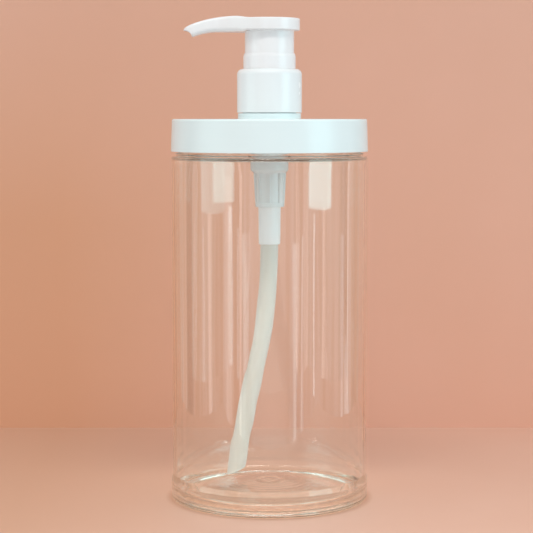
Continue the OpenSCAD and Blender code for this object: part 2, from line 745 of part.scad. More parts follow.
// Outlet: level through the plate, then down the beak to the scooped mouth
module outlet() {
    translate([outlet_knee_x, 0, outlet_z]) rotate([0, 90, 0])
        cylinder(h = -outlet_knee_x, r = outlet_r);
    translate([outlet_knee_x + outlet_r / 4, 0, outlet_z]) rotate([0, -90 - outlet_tip, 0])
        cylinder(h = beak_reach, r = outlet_r);
}

// Ring-shaped room between the skirt and the stem's socket
module skirt_room() {
    room_low_z = skirt_low_z - overlap;
    difference() {
        translate([0, 0, room_low_z]) cylinder(h = plate_z - room_low_z, r = skirt_r - skirt_wall_t);
        translate([0, 0, stem_socket_low_z])
            cylinder(h = plate_z - stem_socket_low_z + overlap, r = stem_socket_r + socket_wall_t);
    }
}

// Head: finger plate with its beak, skirt, stem socket and outlet
module actuator() {
    scoop_x = -beak_reach + scoop_back;
    color("white") difference() {
        union() {
            head_skin();
            translate([0, 0, skirt_low_z]) cylinder(h = skirt_h + overlap, r = skirt_r);
        }
        skirt_room();
        translate([0, 0, stem_socket_low_z - overlap])
            cylinder(h = stem_socket_h + overlap, r = stem_socket_r);
        translate([0, 0, stem_top_z]) cylinder(h = outlet_z - stem_top_z, r = stem_bore_r);
        outlet();
        translate([scoop_x, 0, head_under(-beak_reach) + scoop_up]) rotate([90, 0, 0])
            cylinder(h = 2 * plate_r, r = scoop_r, center = true);
    }
}

jar();
lid();
lid_liner();
collar();
pump_gasket();
guide_ring();
housing();
valve_body();
inlet_ball();
dip_tube();
spring();
piston();
piston_rod();
stem();
actuator();
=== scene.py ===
import math

import bmesh
import bpy
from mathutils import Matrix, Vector


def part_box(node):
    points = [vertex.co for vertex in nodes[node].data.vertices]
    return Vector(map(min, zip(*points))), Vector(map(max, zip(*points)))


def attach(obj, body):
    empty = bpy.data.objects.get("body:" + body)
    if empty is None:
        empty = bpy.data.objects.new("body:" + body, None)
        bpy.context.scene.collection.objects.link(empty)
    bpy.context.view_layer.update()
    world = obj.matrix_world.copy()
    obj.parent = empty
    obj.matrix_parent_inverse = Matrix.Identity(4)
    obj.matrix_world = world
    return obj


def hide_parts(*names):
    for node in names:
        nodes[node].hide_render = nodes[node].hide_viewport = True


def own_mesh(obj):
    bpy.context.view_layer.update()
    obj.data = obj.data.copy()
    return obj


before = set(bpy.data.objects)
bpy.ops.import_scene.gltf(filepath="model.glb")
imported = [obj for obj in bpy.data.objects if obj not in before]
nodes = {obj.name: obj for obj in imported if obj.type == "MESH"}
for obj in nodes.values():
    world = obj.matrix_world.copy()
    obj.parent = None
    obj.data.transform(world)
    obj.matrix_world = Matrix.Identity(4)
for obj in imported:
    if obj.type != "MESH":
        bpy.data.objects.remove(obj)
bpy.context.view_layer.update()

# ---------------------------------------------------------------------------------------------
# Studio. A painted table and a painted wall on its back edge, a tall window-like softbox to the
# right, a weaker one to the left and a soft overhead light. The camera looks slightly down.


def linear(hex_colour):
    """Linear RGBA of an sRGB colour written as six hex digits."""
    channels = [int(hex_colour[i:i + 2], 16) / 255 for i in (0, 2, 4)]
    return [c / 12.92 if c <= 0.04045 else ((c + 0.055) / 1.055) ** 2.4 for c in channels] + [1.0]


def add(tree, kind, inputs=(), **settings):
    """Adds a node to a tree. Its inputs go by name or number, or in order. Each is a value, or what
    is linked to it: a socket, or a node, which stands for its first output in use."""
    node = tree.nodes.new(kind)
    for name, value in settings.items():
        setattr(node, name, value)
    for key, value in inputs.items() if isinstance(inputs, dict) else enumerate(inputs):
        if isinstance(value, bpy.types.Node):
            value = next(socket for socket in value.outputs if socket.enabled)
        if isinstance(value, bpy.types.NodeSocket):
            tree.links.new(value, node.inputs[key])
        else:
            node.inputs[key].default_value = value
    return node


def new_material(name):
    """An empty node material, its tree and the place on the object in metres."""
    material = bpy.data.materials.new(name)
    material.use_nodes = True
    tree = material.node_tree
    tree.nodes.clear()
    return material, tree, add(tree, "ShaderNodeTexCoord").outputs["Object"]


def link_object(name, data):
    """An object in the scene, at the origin."""
    made = bpy.data.objects.new(name, data)
    bpy.context.scene.collection.objects.link(made)
    return made


camera_place, look_down, focal_mm = (-0.0014, -0.767, 0.1822), math.radians(5.327), 109.3
camera_data = bpy.data.cameras.new("camera")
camera_data.lens = focal_mm
camera_data.clip_start = 0.02
camera = link_object("camera", camera_data)
camera.location = camera_place
camera.rotation_euler = (math.pi / 2 - look_down, 0, 0)
bpy.context.scene.camera = camera

# Two painted boards, matt and faintly mottled, with painted warm light at the lower left. The table
# has a soft shade under the jar's foot, where little light gets in between jar and board.
board_half_w, table_front, wall_y, wall_h, floor_z = 0.27, -0.20, 0.17, 0.42, -0.0002
warm_from_x, warm_to_x, warm_from_z, warm_to_z = 0.0, -0.12, 0.26, 0.12
shade_in_r, shade_full_r, shade_edge_r, shade_out_r, shade_depth = 0.036, 0.043, 0.0468, 0.05, 0.5
for name, near, far, shade, light_shade, painted_warm_light in (
    ("table", (table_front, floor_z), (wall_y, floor_z), "DEB19B", "E2B8A3", "D3A58A"),
    ("wall", (wall_y, floor_z), (wall_y, wall_h), "E1AB91", "E6B19A", "DBA17F"),
):
    corners = [(x, y, z) for y, z in (near, far) for x in (-board_half_w, board_half_w)]
    board_mesh = bpy.data.meshes.new(name)
    board_mesh.from_pydata(corners, [], [(0, 1, 3, 2)])
    board = link_object(name, board_mesh)
    paint, tree, place = new_material("painted_board_" + name)
    mottle = add(tree, "ShaderNodeTexNoise", {"Vector": place, "Scale": 14.0, "Detail": 3.0})
    tints = {0: mottle, 6: linear(shade), 7: linear(light_shade)}
    tint = add(tree, "ShaderNodeMix", tints, data_type="RGBA")
    spot = add(tree, "ShaderNodeSeparateXYZ", (place,)).outputs
    # Painted warm light: the tint turns warmer towards the lower left of each board.
    to_left = add(tree, "ShaderNodeMapRange", (spot["X"], warm_from_x, warm_to_x))
    low_down = add(tree, "ShaderNodeMapRange", (spot["Z"], warm_from_z, warm_to_z))
    corner = add(tree, "ShaderNodeMath", (to_left, low_down), operation="MULTIPLY")
    tint = add(tree, "ShaderNodeMix", {0: corner, 6: tint, 7: linear(painted_warm_light)}, data_type="RGBA")
    if name == "table":
        reach = add(tree, "ShaderNodeVectorMath", (place,), operation="LENGTH")
        from_inside = add(tree, "ShaderNodeMapRange", (reach, shade_in_r, shade_full_r))
        from_outside = add(tree, "ShaderNodeMapRange", (reach, shade_out_r, shade_edge_r))
        under_foot = add(tree, "ShaderNodeMath", (from_inside, from_outside), operation="MULTIPLY")
        under_foot = add(tree, "ShaderNodeMath", (under_foot, shade_depth), operation="MULTIPLY")
        tints = {0: under_foot, 6: tint, 7: linear("B57852")}
        tint = add(tree, "ShaderNodeMix", tints, data_type="RGBA")
    skin = add(tree, "ShaderNodeBsdfPrincipled", {"Base Color": tint, "Roughness": 0.6})
    # The boards step aside for a camera that stands behind them
    behind = add(tree, "ShaderNodeNewGeometry").outputs["Backfacing"]
    looking = add(tree, "ShaderNodeLightPath").outputs["Is Camera Ray"]
    aside = add(tree, "ShaderNodeMath", (behind, looking), operation="MULTIPLY")
    skin = add(tree, "ShaderNodeMixShader", (aside, skin, add(tree, "ShaderNodeBsdfTransparent")))
    add(tree, "ShaderNodeOutputMaterial", {"Surface": skin})
    board_mesh.materials.append(paint)


def softbox(name, place, size, watts, colour):
    """A rectangular light of the given width and height that looks along its own -Z."""
    data = bpy.data.lights.new(name, "AREA")
    data.shape = "RECTANGLE"
    data.size, data.size_y = size
    data.energy, data.color = watts, linear(colour)[:3]
    light = link_object(name, data)
    light.location = place
    return light


# Upright lights: name, azimuth from the camera towards the right, low and high edge, width, watts.
# The window and the fill each have a twin just in front that only gloss and clear walls see, and
# the narrow strips draw pale upright lines in the jar's gloss.
light_distance, twin_gap = 1.5, 0.01
right_light, left_light, gloss_light = "CFEDF6", "F1F1EC", "AEF0F6"
for name, azimuth, low_z, high_z, width, watts in (
    ("window", 61, 0.056, 1.06, 0.80, 5.8),
    ("window_gloss", 61, 0.056, 1.06, 0.80, 6.6),
    ("fill", -70, 0.05, 1.45, 0.9, 4.0),
    ("fill_gloss", -70, 0.05, 1.45, 0.9, 4.6),
    ("strip_a", 30, -0.5, 0.011, 0.157, 0.4),
    ("strip_b", 38.5, -0.5, 0.02, 0.06, 0.15),
    ("strip_c", 52, -0.2, 0.05, 0.06, 0.12),
    ("strip_d", 92, -0.5, 0.02, 0.12, 0.25),
    ("strip_e", 105, -0.5, 1.0, 0.06, 0.4),
    ("strip_f", -35, -0.5, 0.4, 0.07, 0.3),
    ("strip_g", -47, -0.5, 0.1, 0.2, 0.3),
    ("strip_h", -73, -0.5, 0.05, 0.14, 0.3),
):
    twin = name.endswith("_gloss")
    colour = gloss_light if twin else right_light if azimuth > 0 else left_light
    turn = math.radians(azimuth)
    across = Vector((math.sin(turn), -math.cos(turn), 0))
    stand = (light_distance - twin_gap * twin) * across + Vector((0, 0, (low_z + high_z) / 2))
    light = softbox(name, stand, (width, high_z - low_z), watts, colour)
    light.visible_diffuse = not twin
    light.visible_glossy = light.visible_transmission = name not in ("window", "fill")
    light.rotation_euler = (-across).to_track_quat("-Z", "Y").to_euler()
overhead_place, overhead_size, overhead_watts, overhead_tilt = (0, -0.7, 1.2), (1.2, 0.45), 20, -36
overhead = softbox("overhead", overhead_place, overhead_size, overhead_watts, "FFFBF8")
overhead.rotation_euler = (math.radians(overhead_tilt), 0, 0)

# The room lights the object evenly. Glass and gloss show it as pale and dim upright bands with a
# few dark gaps between them, paler towards the camera, and with a grey-green ceiling.
band_span, front_span, ceiling_span, gap_fade = (0.4, 0.62), (-0.9, -0.97), (0.35, 0.7), 0.04
world = bpy.data.worlds.new("room")
bpy.context.scene.world = world
world.use_nodes = True
tree = world.node_tree
tree.nodes.clear()
ray = add(tree, "ShaderNodeLightPath").outputs
towards = add(tree, "ShaderNodeTexCoord").outputs["Generated"]
upright = add(tree, "ShaderNodeMapping", {"Vector": towards, "Scale": (1, 1, 0.05)})
upright_noise = {"Vector": upright, "Scale": 7.0, "Detail": 4.0, "Roughness": 0.65}
bands = add(tree, "ShaderNodeTexNoise", upright_noise)
bands = add(tree, "ShaderNodeMapRange", (bands, *band_span))
axes = add(tree, "ShaderNodeSeparateXYZ", (towards,)).outputs
shares = [(bands, "FCF2EA"), (add(tree, "ShaderNodeMapRange", (axes["Y"], *front_span)), "FAE6D8")]
for side, from_y, to_y in (("LESS_THAN", 0.15, 0.41), ("GREATER_THAN", 0.44, 0.50)):
    gap = add(tree, "ShaderNodeMath", (axes["X"], 0.0), operation=side)
    for edge, inward in ((from_y, gap_fade), (to_y, -gap_fade)):
        fade = add(tree, "ShaderNodeMapRange", (axes["Y"], edge, edge + inward))
        gap = add(tree, "ShaderNodeMath", (gap, fade), operation="MULTIPLY")
    shares.append((gap, "4A3428"))
shares.append((add(tree, "ShaderNodeMapRange", (axes["Z"], *ceiling_span)), "CFCDC2"))
shares.append((ray["Is Camera Ray"], "DDB6A2"))
room = linear("C4926F")
for share, colour in shares:
    room = add(tree, "ShaderNodeMix", {0: share, 6: room, 7: linear(colour)}, data_type="RGBA")
seen = ray["Is Camera Ray"]
for kind in ("Is Glossy Ray", "Is Transmission Ray"):
    seen = add(tree, "ShaderNodeMath", (seen, ray[kind]), operation="MAXIMUM")
direct = add(tree, "ShaderNodeMath", (ray["Diffuse Depth"], 0.5), operation="LESS_THAN")
seen = add(tree, "ShaderNodeMath", (seen, direct), operation="MULTIPLY")
ambient = add(tree, "ShaderNodeBackground", {"Color": linear("EAF1F6"), "Strength": 0.68})
wall = add(tree, "ShaderNodeBackground", {"Color": room, "Strength": 1.0})
either = add(tree, "ShaderNodeMixShader", (seen, ambient, wall))
add(tree, "ShaderNodeOutputWorld", {"Surface": either})
bpy.context.scene.view_settings.view_transform = "Standard"

# ---------------------------------------------------------------------------------------------
# Jar. One litre, stretch-blown in clear PET: the neck with its 5.1 mm pitch thread is moulded on
# the preform, and wall, heel and raised base are blown against the mould. The wall is slightly
# uneven, which draws what stands behind it into upright streaks.


def arc(x, z, radius, start, end, steps=10):
    """Points of an arc about (x, z) from one angle to another, in degrees, both ends included."""
    turns = [math.radians(start + (end - start) * i / steps) for i in range(steps + 1)]
    return [(x + radius * math.cos(t), z + radius * math.sin(t)) for t in turns]


def dome(radius, crown, edge, steps=14):
    """Points of a flat dome from its crown on the axis out to its edge."""
    rise = crown - edge
    ball = (radius ** 2 + rise ** 2) / (2 * rise)
    spots = [radius * i / steps for i in range(steps + 1)]
    return [(x, crown - ball + math.sqrt(ball ** 2 - x ** 2)) for x in spots]


def settle(name, shape):
    """An object of the built shape with its faces outward. The shape is used up."""
    bmesh.ops.recalc_face_normals(shape, faces=shape.faces)
    mesh = bpy.data.meshes.new(name)
    shape.to_mesh(mesh)
    shape.free()
    return link_object(name, mesh)


def revolve(name, profile, sides=160, threaded=None, closed=True):
    """A profile turned about Z. Long spans get a row close to each end, which keeps their shading
    flat. The span from the profile's point number threaded carries a thread, and gets close rows."""
    long_span, hold, thread_row, axis_r = 0.002, 0.0003, 0.0002, 1e-7
    count = len(profile)
    rows = []
    for i in range(count if closed else count - 1):
        start, end = Vector(profile[i]), Vector(profile[(i + 1) % count])
        marked = i == threaded
        rows.append((start, 0.0))
        span = (end - start).length
        if marked:
            steps = round(span / thread_row)
            rows += [(start.lerp(end, k / steps), 1.0) for k in range(1, steps)]
        elif span > long_span:
            rows += [(start.lerp(end, hold / span), 0.0), (start.lerp(end, 1 - hold / span), 0.0)]
    if not closed:
        rows.append((Vector(profile[-1]), 0.0))
    shape = bmesh.new()
    mark = shape.verts.layers.float.new("thread")
    rings = []
    for point, marked in rows:
        on_axis = point.x < axis_r
        ring = []
        for k in range(1 if on_axis else sides):
            turn = 2 * math.pi * k / sides
            vert = shape.verts.new((point.x * math.cos(turn), point.x * math.sin(turn), point.y))
            vert[mark] = marked
            ring.append(vert)
        rings.append(ring)
    for i in range(len(rings) if closed else len(rings) - 1):
        low, high = rings[i], rings[(i + 1) % len(rings)]
        for k in range(sides):
            corners = [low[k % len(low)], low[(k + 1) % len(low)],
                       high[(k + 1) % len(high)], high[k % len(high)]]
            corners = list(dict.fromkeys(corners))
            if len(corners) > 2:
                shape.faces.new(corners)
    return settle(name, shape)


def open_tree(name, sizes, counts=()):
    """A geometry node tree with a shape, counts, sizes and a material as its named inputs."""
    tree = bpy.data.node_groups.new(name, "GeometryNodeTree")
    tree.interface.new_socket("Geometry", in_out="OUTPUT", socket_type="NodeSocketGeometry")
    inputs = [("Geometry", "Geometry")] + [(label, "Int") for label in counts]
    inputs += [(label, "Float") for label in sizes] + [("Material", "Material")]
    for label, kind in inputs:
        tree.interface.new_socket(label, in_out="INPUT", socket_type="NodeSocket" + kind)
    return tree, add(tree, "NodeGroupInput").outputs


def close_tree(tree, given, shape):
    """Ends a tree: its shape becomes a plain mesh in the given material."""
    whole = add(tree, "GeometryNodeRealizeInstances", (shape,))
    coated = add(tree, "GeometryNodeSetMaterial", {"Geometry": whole, "Material": given["Material"]})
    add(tree, "NodeGroupOutput", (coated,))
    return tree


def thread_tree():
    """Node tree that raises a helical ridge on the rows marked "thread". Its inputs are sizes in
    metres and turns: where the ridge starts, its pitch, how many turns it runs, how far it
    stands out (inwards if negative), and the widths of its crest and of each flank."""
    tree, given = open_tree("moulded_thread", ("Start", "Pitch", "Turns", "Depth", "Crest", "Flank"))
    run_out_turns = 0.06
    place = add(tree, "ShaderNodeSeparateXYZ", (add(tree, "GeometryNodeInputPosition"),)).outputs
    bearing = add(tree, "ShaderNodeMath", (place["Y"], place["X"]), operation="ARCTAN2")
    around = add(tree, "ShaderNodeMath", (bearing, 2 * math.pi), operation="DIVIDE")
    around = add(tree, "ShaderNodeMath", (around,), operation="FRACT")
    climb = add(tree, "ShaderNodeMath", (place["Z"], given["Start"]), operation="SUBTRACT")
    climb = add(tree, "ShaderNodeMath", (climb, given["Pitch"]), operation="DIVIDE")
    climb = add(tree, "ShaderNodeMath", (climb, around), operation="SUBTRACT")
    turn = add(tree, "ShaderNodeMath", (climb,), operation="ROUND")
    off_centre = add(tree, "ShaderNodeMath", (climb, turn), operation="SUBTRACT")
    off_centre = add(tree, "ShaderNodeMath", (off_centre,), operation="ABSOLUTE")
    off_centre = add(tree, "ShaderNodeMath", (off_centre, given["Pitch"]), operation="MULTIPLY")
    half_crest = add(tree, "ShaderNodeMath", (given["Crest"], 0.5), operation="MULTIPLY")
    foot = add(tree, "ShaderNodeMath", (half_crest, given["Flank"]), operation="ADD")
    run = add(tree, "ShaderNodeMath", (turn, around), operation="ADD")
    fading = add(tree, "ShaderNodeMath", (given["Turns"], run_out_turns), operation="SUBTRACT")
    ridge, run_in, run_out = (
        add(tree, "ShaderNodeMapRange", span, interpolation_type="SMOOTHSTEP") for span in (
            (off_centre, half_crest, foot, 1.0, 0.0),
            (run, 0.0, run_out_turns, 0.0, 1.0),
            (run, fading, given["Turns"], 1.0, 0.0),
        )
    )
    marked = add(tree, "GeometryNodeInputNamedAttribute", {"Name": "thread"})
    height = ridge
    for share in (run_in, run_out, given["Depth"], marked):
        height = add(tree, "ShaderNodeMath", (height, share), operation="MULTIPLY")
    flat = add(tree, "ShaderNodeCombineXYZ", (place["X"], place["Y"], 0.0))
    outward = add(tree, "ShaderNodeVectorMath", (flat,), operation="NORMALIZE")
    offset = add(tree, "ShaderNodeVectorMath", {0: outward, "Scale": height}, operation="SCALE")
    raised = add(tree, "GeometryNodeSetPosition", {"Geometry": given["Geometry"], "Offset": offset})
    return close_tree(tree, given, raised)


def keep_result(piece):
    """Keeps what the modifiers of a piece make as its mesh."""
    made = piece.evaluated_get(bpy.context.evaluated_depsgraph_get())
    piece.data = bpy.data.meshes.new_from_object(made)
    piece.modifiers.clear()


def grow(piece, tree, sizes):
    """Runs a node tree on a piece with the given input values, and keeps the result as its mesh."""
    modifier = piece.modifiers.new(tree.name, "NODES")
    modifier.node_group = tree
    for item in tree.interface.items_tree:
        if item.in_out == "INPUT" and item.name in sizes:
            modifier[item.identifier] = sizes[item.name]
    keep_result(piece)


def smooth(piece, degrees=32):
    """Smooth shading, broken at edges that turn by more than the given angle."""
    piece.data.shade_smooth()
    piece.data.set_sharp_from_angle(angle=math.radians(degrees))


jar_r, jar_wall = 0.0463, 0.0012
foot_r, foot_h, foot_taper_h = 0.04697, 0.009, 0.0035
blend_r, small = 0.004, 0.0004
heel_r, ring_w, slope_w, slope_h, heel_in_r, valley_z = 0.0016, 0.0046, 0.004, 0.0006, 0.0055, 0.0024
panel_step, floor_top_z, floor_edge_z = 0.0015, 0.0086, 0.0033
under_fall, under_round, gate_r, gate_t = 0.1405, 0.014, 0.0048, 0.00025
shoulder_z, shoulder_r, step_r = 0.1632, 0.0009, 0.0005
neck_r, neck_bore_r, bead_r, bead_h = 0.0432, 0.0419, 0.04445, 0.0015
thread_gap, thread_end, thread_up, jar_pitch = 0.0008, 0.0006, 0.0022, 0.00508
rim_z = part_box("jar")[1].z

jar_in_r = jar_r - jar_wall
ring_out_r = foot_r - heel_r
ring_in_r = ring_out_r - ring_w
panel_r = ring_in_r - slope_w
under = []
under_steps, slope_steps = 16, 8
for step in range(under_steps + 1):
    x = (panel_r - small) * step / under_steps
    z = panel_step + under_fall * (math.hypot(panel_r, under_round) - math.hypot(x, under_round))
    under.append((x, z - (gate_t if x < gate_r else 0)))
slope_shares = [i / slope_steps for i in range(slope_steps + 1)]
floor = dome(panel_r, floor_top_z, floor_edge_z)[::-1]
jar_profile = (
    under
    + arc(panel_r - small, panel_step - small, small, 90, 0, 4)
    + [(panel_r + slope_w * t, slope_h * (1 - t ** 2 * (3 - 2 * t))) for t in slope_shares]
    + arc(ring_out_r, heel_r, heel_r, -90, 0, 10)
    + arc(foot_r - blend_r, foot_h, blend_r, 0, 12, 3)
    + arc(jar_r + blend_r, foot_h + foot_taper_h, blend_r, 192, 180, 3)
    + arc(jar_r - shoulder_r, shoulder_z - shoulder_r, shoulder_r, 0, 90, 8)
    + arc(bead_r, shoulder_z + small, small, 270, 180, 3)
    + arc(bead_r - small, shoulder_z + bead_h - small, small, 0, 90, 4)
    + arc(neck_r + small, shoulder_z + bead_h + small, small, 270, 180, 3)
)
thread_from = len(jar_profile)
jar_profile += (
    [(neck_r, shoulder_z + bead_h + thread_gap), (neck_r, rim_z - thread_end)]
    + arc(neck_r - small, rim_z - small, small, 0, 90, 4)
    + arc(neck_bore_r + small, rim_z - small, small, 90, 180, 4)
    + arc(neck_bore_r + small, shoulder_z - jar_wall + small, small, 180, 270, 3)
    + arc(jar_in_r - step_r, shoulder_z - jar_wall - step_r, step_r, 90, 0, 8)
    + arc(jar_in_r - heel_in_r, valley_z + heel_in_r, heel_in_r, 0, -90, 14)
    + floor
)
jar_shell = revolve("jar_shell", jar_profile, sides=192, threaded=thread_from, closed=False)

# Blown PET: water-clear and glossy, IOR 1.57, with upright waves in the wall a few millimetres
# wide, which die out at the moulded neck and at the foot. Lamps shine through it, so what stands
# inside is lit as it is behind a thin clear wall.
wave_depth, most_gloss = 0.001, 3.5
pet, tree, place = new_material("blown_clear_pet")
drawn_out = add(tree, "ShaderNodeMapping", {"Vector": place, "Scale": (1, 1, 0.03)})
waves = add(tree, "ShaderNodeTexNoise", {"Vector": drawn_out, "Scale": 110.0, "Detail": 1.5})
waves = add(tree, "ShaderNodeMath", (waves, 0.5), operation="SUBTRACT")
outward = add(tree, "ShaderNodeVectorMath", (place, (1, 1, 0)), operation="MULTIPLY")
outward = add(tree, "ShaderNodeVectorMath", (outward,), operation="NORMALIZE")
facing = add(tree, "ShaderNodeNewGeometry").outputs["True Normal"]
side = add(tree, "ShaderNodeVectorMath", (outward, facing), operation="DOT_PRODUCT")
level = add(tree, "ShaderNodeSeparateXYZ", (place,)).outputs["Z"]
for still_z, wavy_z in ((0.012, 0.03), (0.1615, 0.156)):
    awake = add(tree, "ShaderNodeMapRange", (level, still_z, wavy_z))
    side = add(tree, "ShaderNodeMath", (side, awake), operation="MULTIPLY")
waves = add(tree, "ShaderNodeMath", (waves, side), operation="MULTIPLY")
relief = add(tree, "ShaderNodeBump", {"Height": waves, "Strength": 0.3, "Distance": wave_depth})
clear = add(tree, "ShaderNodeBsdfPrincipled", {
    "Base Color": linear("FEFFFE"), "Roughness": 0.015, "IOR": 1.57, "Transmission Weight": 1.0,
    "Normal": relief,
})
passing = add(tree, "ShaderNodeBsdfTransparent", {"Color": linear("FFFFFE")})
ray = add(tree, "ShaderNodeLightPath").outputs
spent = add(tree, "ShaderNodeMath", (ray["Glossy Depth"], most_gloss), operation="GREATER_THAN")
free = add(tree, "ShaderNodeMath", (ray["Is Shadow Ray"], spent), operation="MAXIMUM")
either = add(tree, "ShaderNodeMixShader", (free, clear, passing))
depth = add(tree, "ShaderNodeVolumeAbsorption", {"Color": linear("B4C2AC"), "Density": 11.0})
add(tree, "ShaderNodeOutputMaterial", {"Surface": either, "Volume": depth})

thread = thread_tree()
grow(jar_shell, thread, {
    "Start": shoulder_z + bead_h + thread_up, "Pitch": jar_pitch, "Turns": 1.6,
    "Depth": bead_r - neck_r, "Crest": 0.0006, "Flank": 0.001, "Material": pet,
})
smooth(jar_shell)
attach(jar_shell, "jar")
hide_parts("jar")

# ---------------------------------------------------------------------------------------------
# Lid. Moulded in white polypropylene for an 89 mm mouth: smooth drafted skirt, flat top, and in
# one piece with it the boss and the threaded neck that carries the pump.
lid_in_r, lid_r, lid_draft, lid_edge_r = 0.0450, 0.0465, 0.0005, 0.0008
lid_low, lid_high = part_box("lid")
wad_t, lid_top_t, lid_root, boss_top_z = 0.001, 0.002, 0.0006, 0.18335
lid_low_z, lid_ceiling_z, lid_top_z = lid_low.z, rim_z + wad_t, rim_z + wad_t + lid_top_t
boss_r, pump_neck_r, pump_neck_bore_r, pump_neck_top_z = 0.0149, 0.0126, 0.0106, lid_high.z
pump_thread_up, pump_pitch = 0.004, 0.004233
tiny, fine_r, crease_r = 0.0001, 0.0002, 0.0003  # the sharpest edges that the moulds leave

lid_profile = [(lid_in_r, lid_low_z + crease_r), (lid_in_r + crease_r, lid_low_z)]
lid_profile += arc(lid_r - fine_r, lid_low_z + fine_r, fine_r, -90, 0, 3)
lid_profile += arc(lid_r - lid_draft - lid_edge_r, lid_top_z - lid_edge_r, lid_edge_r, 0, 90, 8)
lid_profile += arc(boss_r + small, lid_top_z + small, small, 270, 180, 4)
lid_profile += arc(boss_r - crease_r, boss_top_z - crease_r, crease_r, 0, 90, 4)
pump_thread_from = len(lid_profile)
lid_profile += [(pump_neck_r, boss_top_z), (pump_neck_r, pump_neck_top_z - small)]
lid_profile += [(pump_neck_r - small, pump_neck_top_z), (pump_neck_bore_r, pump_neck_top_z)]
lid_profile += [(pump_neck_bore_r, lid_ceiling_z), (lid_in_r - lid_draft - lid_root, lid_ceiling_z)]
lid_shell = revolve("lid_shell", lid_profile, sides=192, threaded=pump_thread_from)


def moulded_white(name, dark, light):
    """Injection-moulded white polypropylene: semi-gloss, slightly cool, with the faint orange peel
    of a polished mould and a little light let in under the surface."""
    material, tree, place = new_material(name)
    cloud = add(tree, "ShaderNodeTexNoise", {"Vector": place, "Scale": 45.0, "Detail": 3.0})
    peel = add(tree, "ShaderNodeTexNoise", {"Vector": place, "Scale": 1400.0, "Detail": 1.0})
    tint = {0: cloud, 6: linear(dark), 7: linear(light)}
    skin = add(tree, "ShaderNodeBsdfPrincipled", {
        "Base Color": add(tree, "ShaderNodeMix", tint, data_type="RGBA"), "IOR": 1.49,
        "Roughness": add(tree, "ShaderNodeMapRange", (cloud, 0.0, 1.0, 0.22, 0.30)),
        "Normal": add(tree, "ShaderNodeBump", {"Height": peel, "Strength": 0.08, "Distance": 0.0001}),
        "Subsurface Weight": 0.15, "Subsurface Radius": (1, 1, 1), "Subsurface Scale": 0.0008,
    })
    add(tree, "ShaderNodeOutputMaterial", {"Surface": skin})
    return material


white_pp = moulded_white("moulded_white_polypropylene", "E4F1F1", "E8F4F4")

grow(lid_shell, thread, {
    "Start": boss_top_z + pump_thread_up, "Pitch": pump_pitch, "Turns": 1.6, "Depth": 0.00105,
    "Crest": 0.0005, "Flank": 0.0009, "Material": white_pp,
})
smooth(lid_shell)
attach(lid_shell, "lid")
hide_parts("lid")

# ---------------------------------------------------------------------------------------------
# Sealing wad. Punched from closed-cell polyethylene foam, 1 mm thick. It lies loose under the top
# of the lid and is clamped between that and the jar's rim.

# Expanded polyethylene: chalk white and matt, with closed cells about 0.4 mm wide.
foam, tree, place = new_material("expanded_polyethylene_foam")
cells = add(tree, "ShaderNodeTexVoronoi", {"Vector": place, "Scale": 2500.0})
skin = add(tree, "ShaderNodeBsdfPrincipled", {
    "Base Color": linear("F1F1EE"), "Roughness": 0.75,
    "Normal": add(tree, "ShaderNodeBump", {"Height": cells, "Strength": 0.4, "Distance": 0.0002}),
})
add(tree, "ShaderNodeOutputMaterial", {"Surface": skin})


def finish_node(name, material):
    """Gives a piece that stays as it is in the frame its material."""
    nodes[name].data.materials.clear()
    nodes[name].data.materials.append(material)
    smooth(nodes[name])


finish_node("lid_liner", foam)

# ---------------------------------------------------------------------------------------------
# Pump housing. Moulded in natural polypropylene: flange, plain barrel, a short cone, then the
# slimmer spring chamber with eight long ribs and a rim. It hangs in the lid's neck by its flange.
housing_low, housing_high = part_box("housing")
valve_low, valve_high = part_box("valve_body")
barrel_r, barrel_bore_r, flange_r, flange_t = 0.0090, 0.0078, 0.0132, 0.0012
barrel_h, cone_h, cone_r, cone_in_h, rim_h = 0.0431, 0.0013, 0.0006, 0.0012, 0.002
barrel_low_z = housing_high.z - flange_t - barrel_h
ribs_top_z = barrel_low_z - cone_h
ribs_top_r, ribs_low_r, core_r, core_bore_r = 0.0076, 0.00675, 0.00645, 0.0056
rib_t, rib_edge_r, rib_count = 0.0009, 0.00025, 8


def around_tree():
    """Node tree that stands copies of a piece round the Z axis, evenly spaced."""
    tree, given = open_tree("evenly_round_axis", ("First Turn",), ("Count",))
    seats = add(tree, "GeometryNodePoints", {"Count": given["Count"]})
    number = add(tree, "GeometryNodeInputIndex")
    share = add(tree, "ShaderNodeMath", (number, given["Count"]), operation="DIVIDE")
    from_first = (share, 2 * math.pi, given["First Turn"])
    turn = add(tree, "ShaderNodeMath", from_first, operation="MULTIPLY_ADD")
    facing = add(tree, "ShaderNodeCombineXYZ", {"Z": turn})
    seated = {"Points": seats, "Instance": given["Geometry"], "Rotation": facing}
    return close_tree(tree, given, add(tree, "GeometryNodeInstanceOnPoints", seated))


def plate(name, outline, thickness, edge):
    """A plate in the XZ plane with the given outline, centred on Y = 0, its long edges rounded."""
    shape = bmesh.new()
    sides = [[shape.verts.new((x, y, z)) for x, z in outline] for y in (-thickness / 2, thickness / 2)]
    shape.faces.new(sides[0])
    shape.faces.new(sides[1][::-1])
    count = len(outline)
    for i in range(count):
        j = (i + 1) % count
        shape.faces.new((sides[0][i], sides[0][j], sides[1][j], sides[1][i]))
    outer = [e for e in shape.edges if e.verts[0].co.y == e.verts[1].co.y]
    bmesh.ops.bevel(shape, geom=outer, offset=edge, segments=3, affect="EDGES", clamp_overlap=True)
    return settle(name, shape)


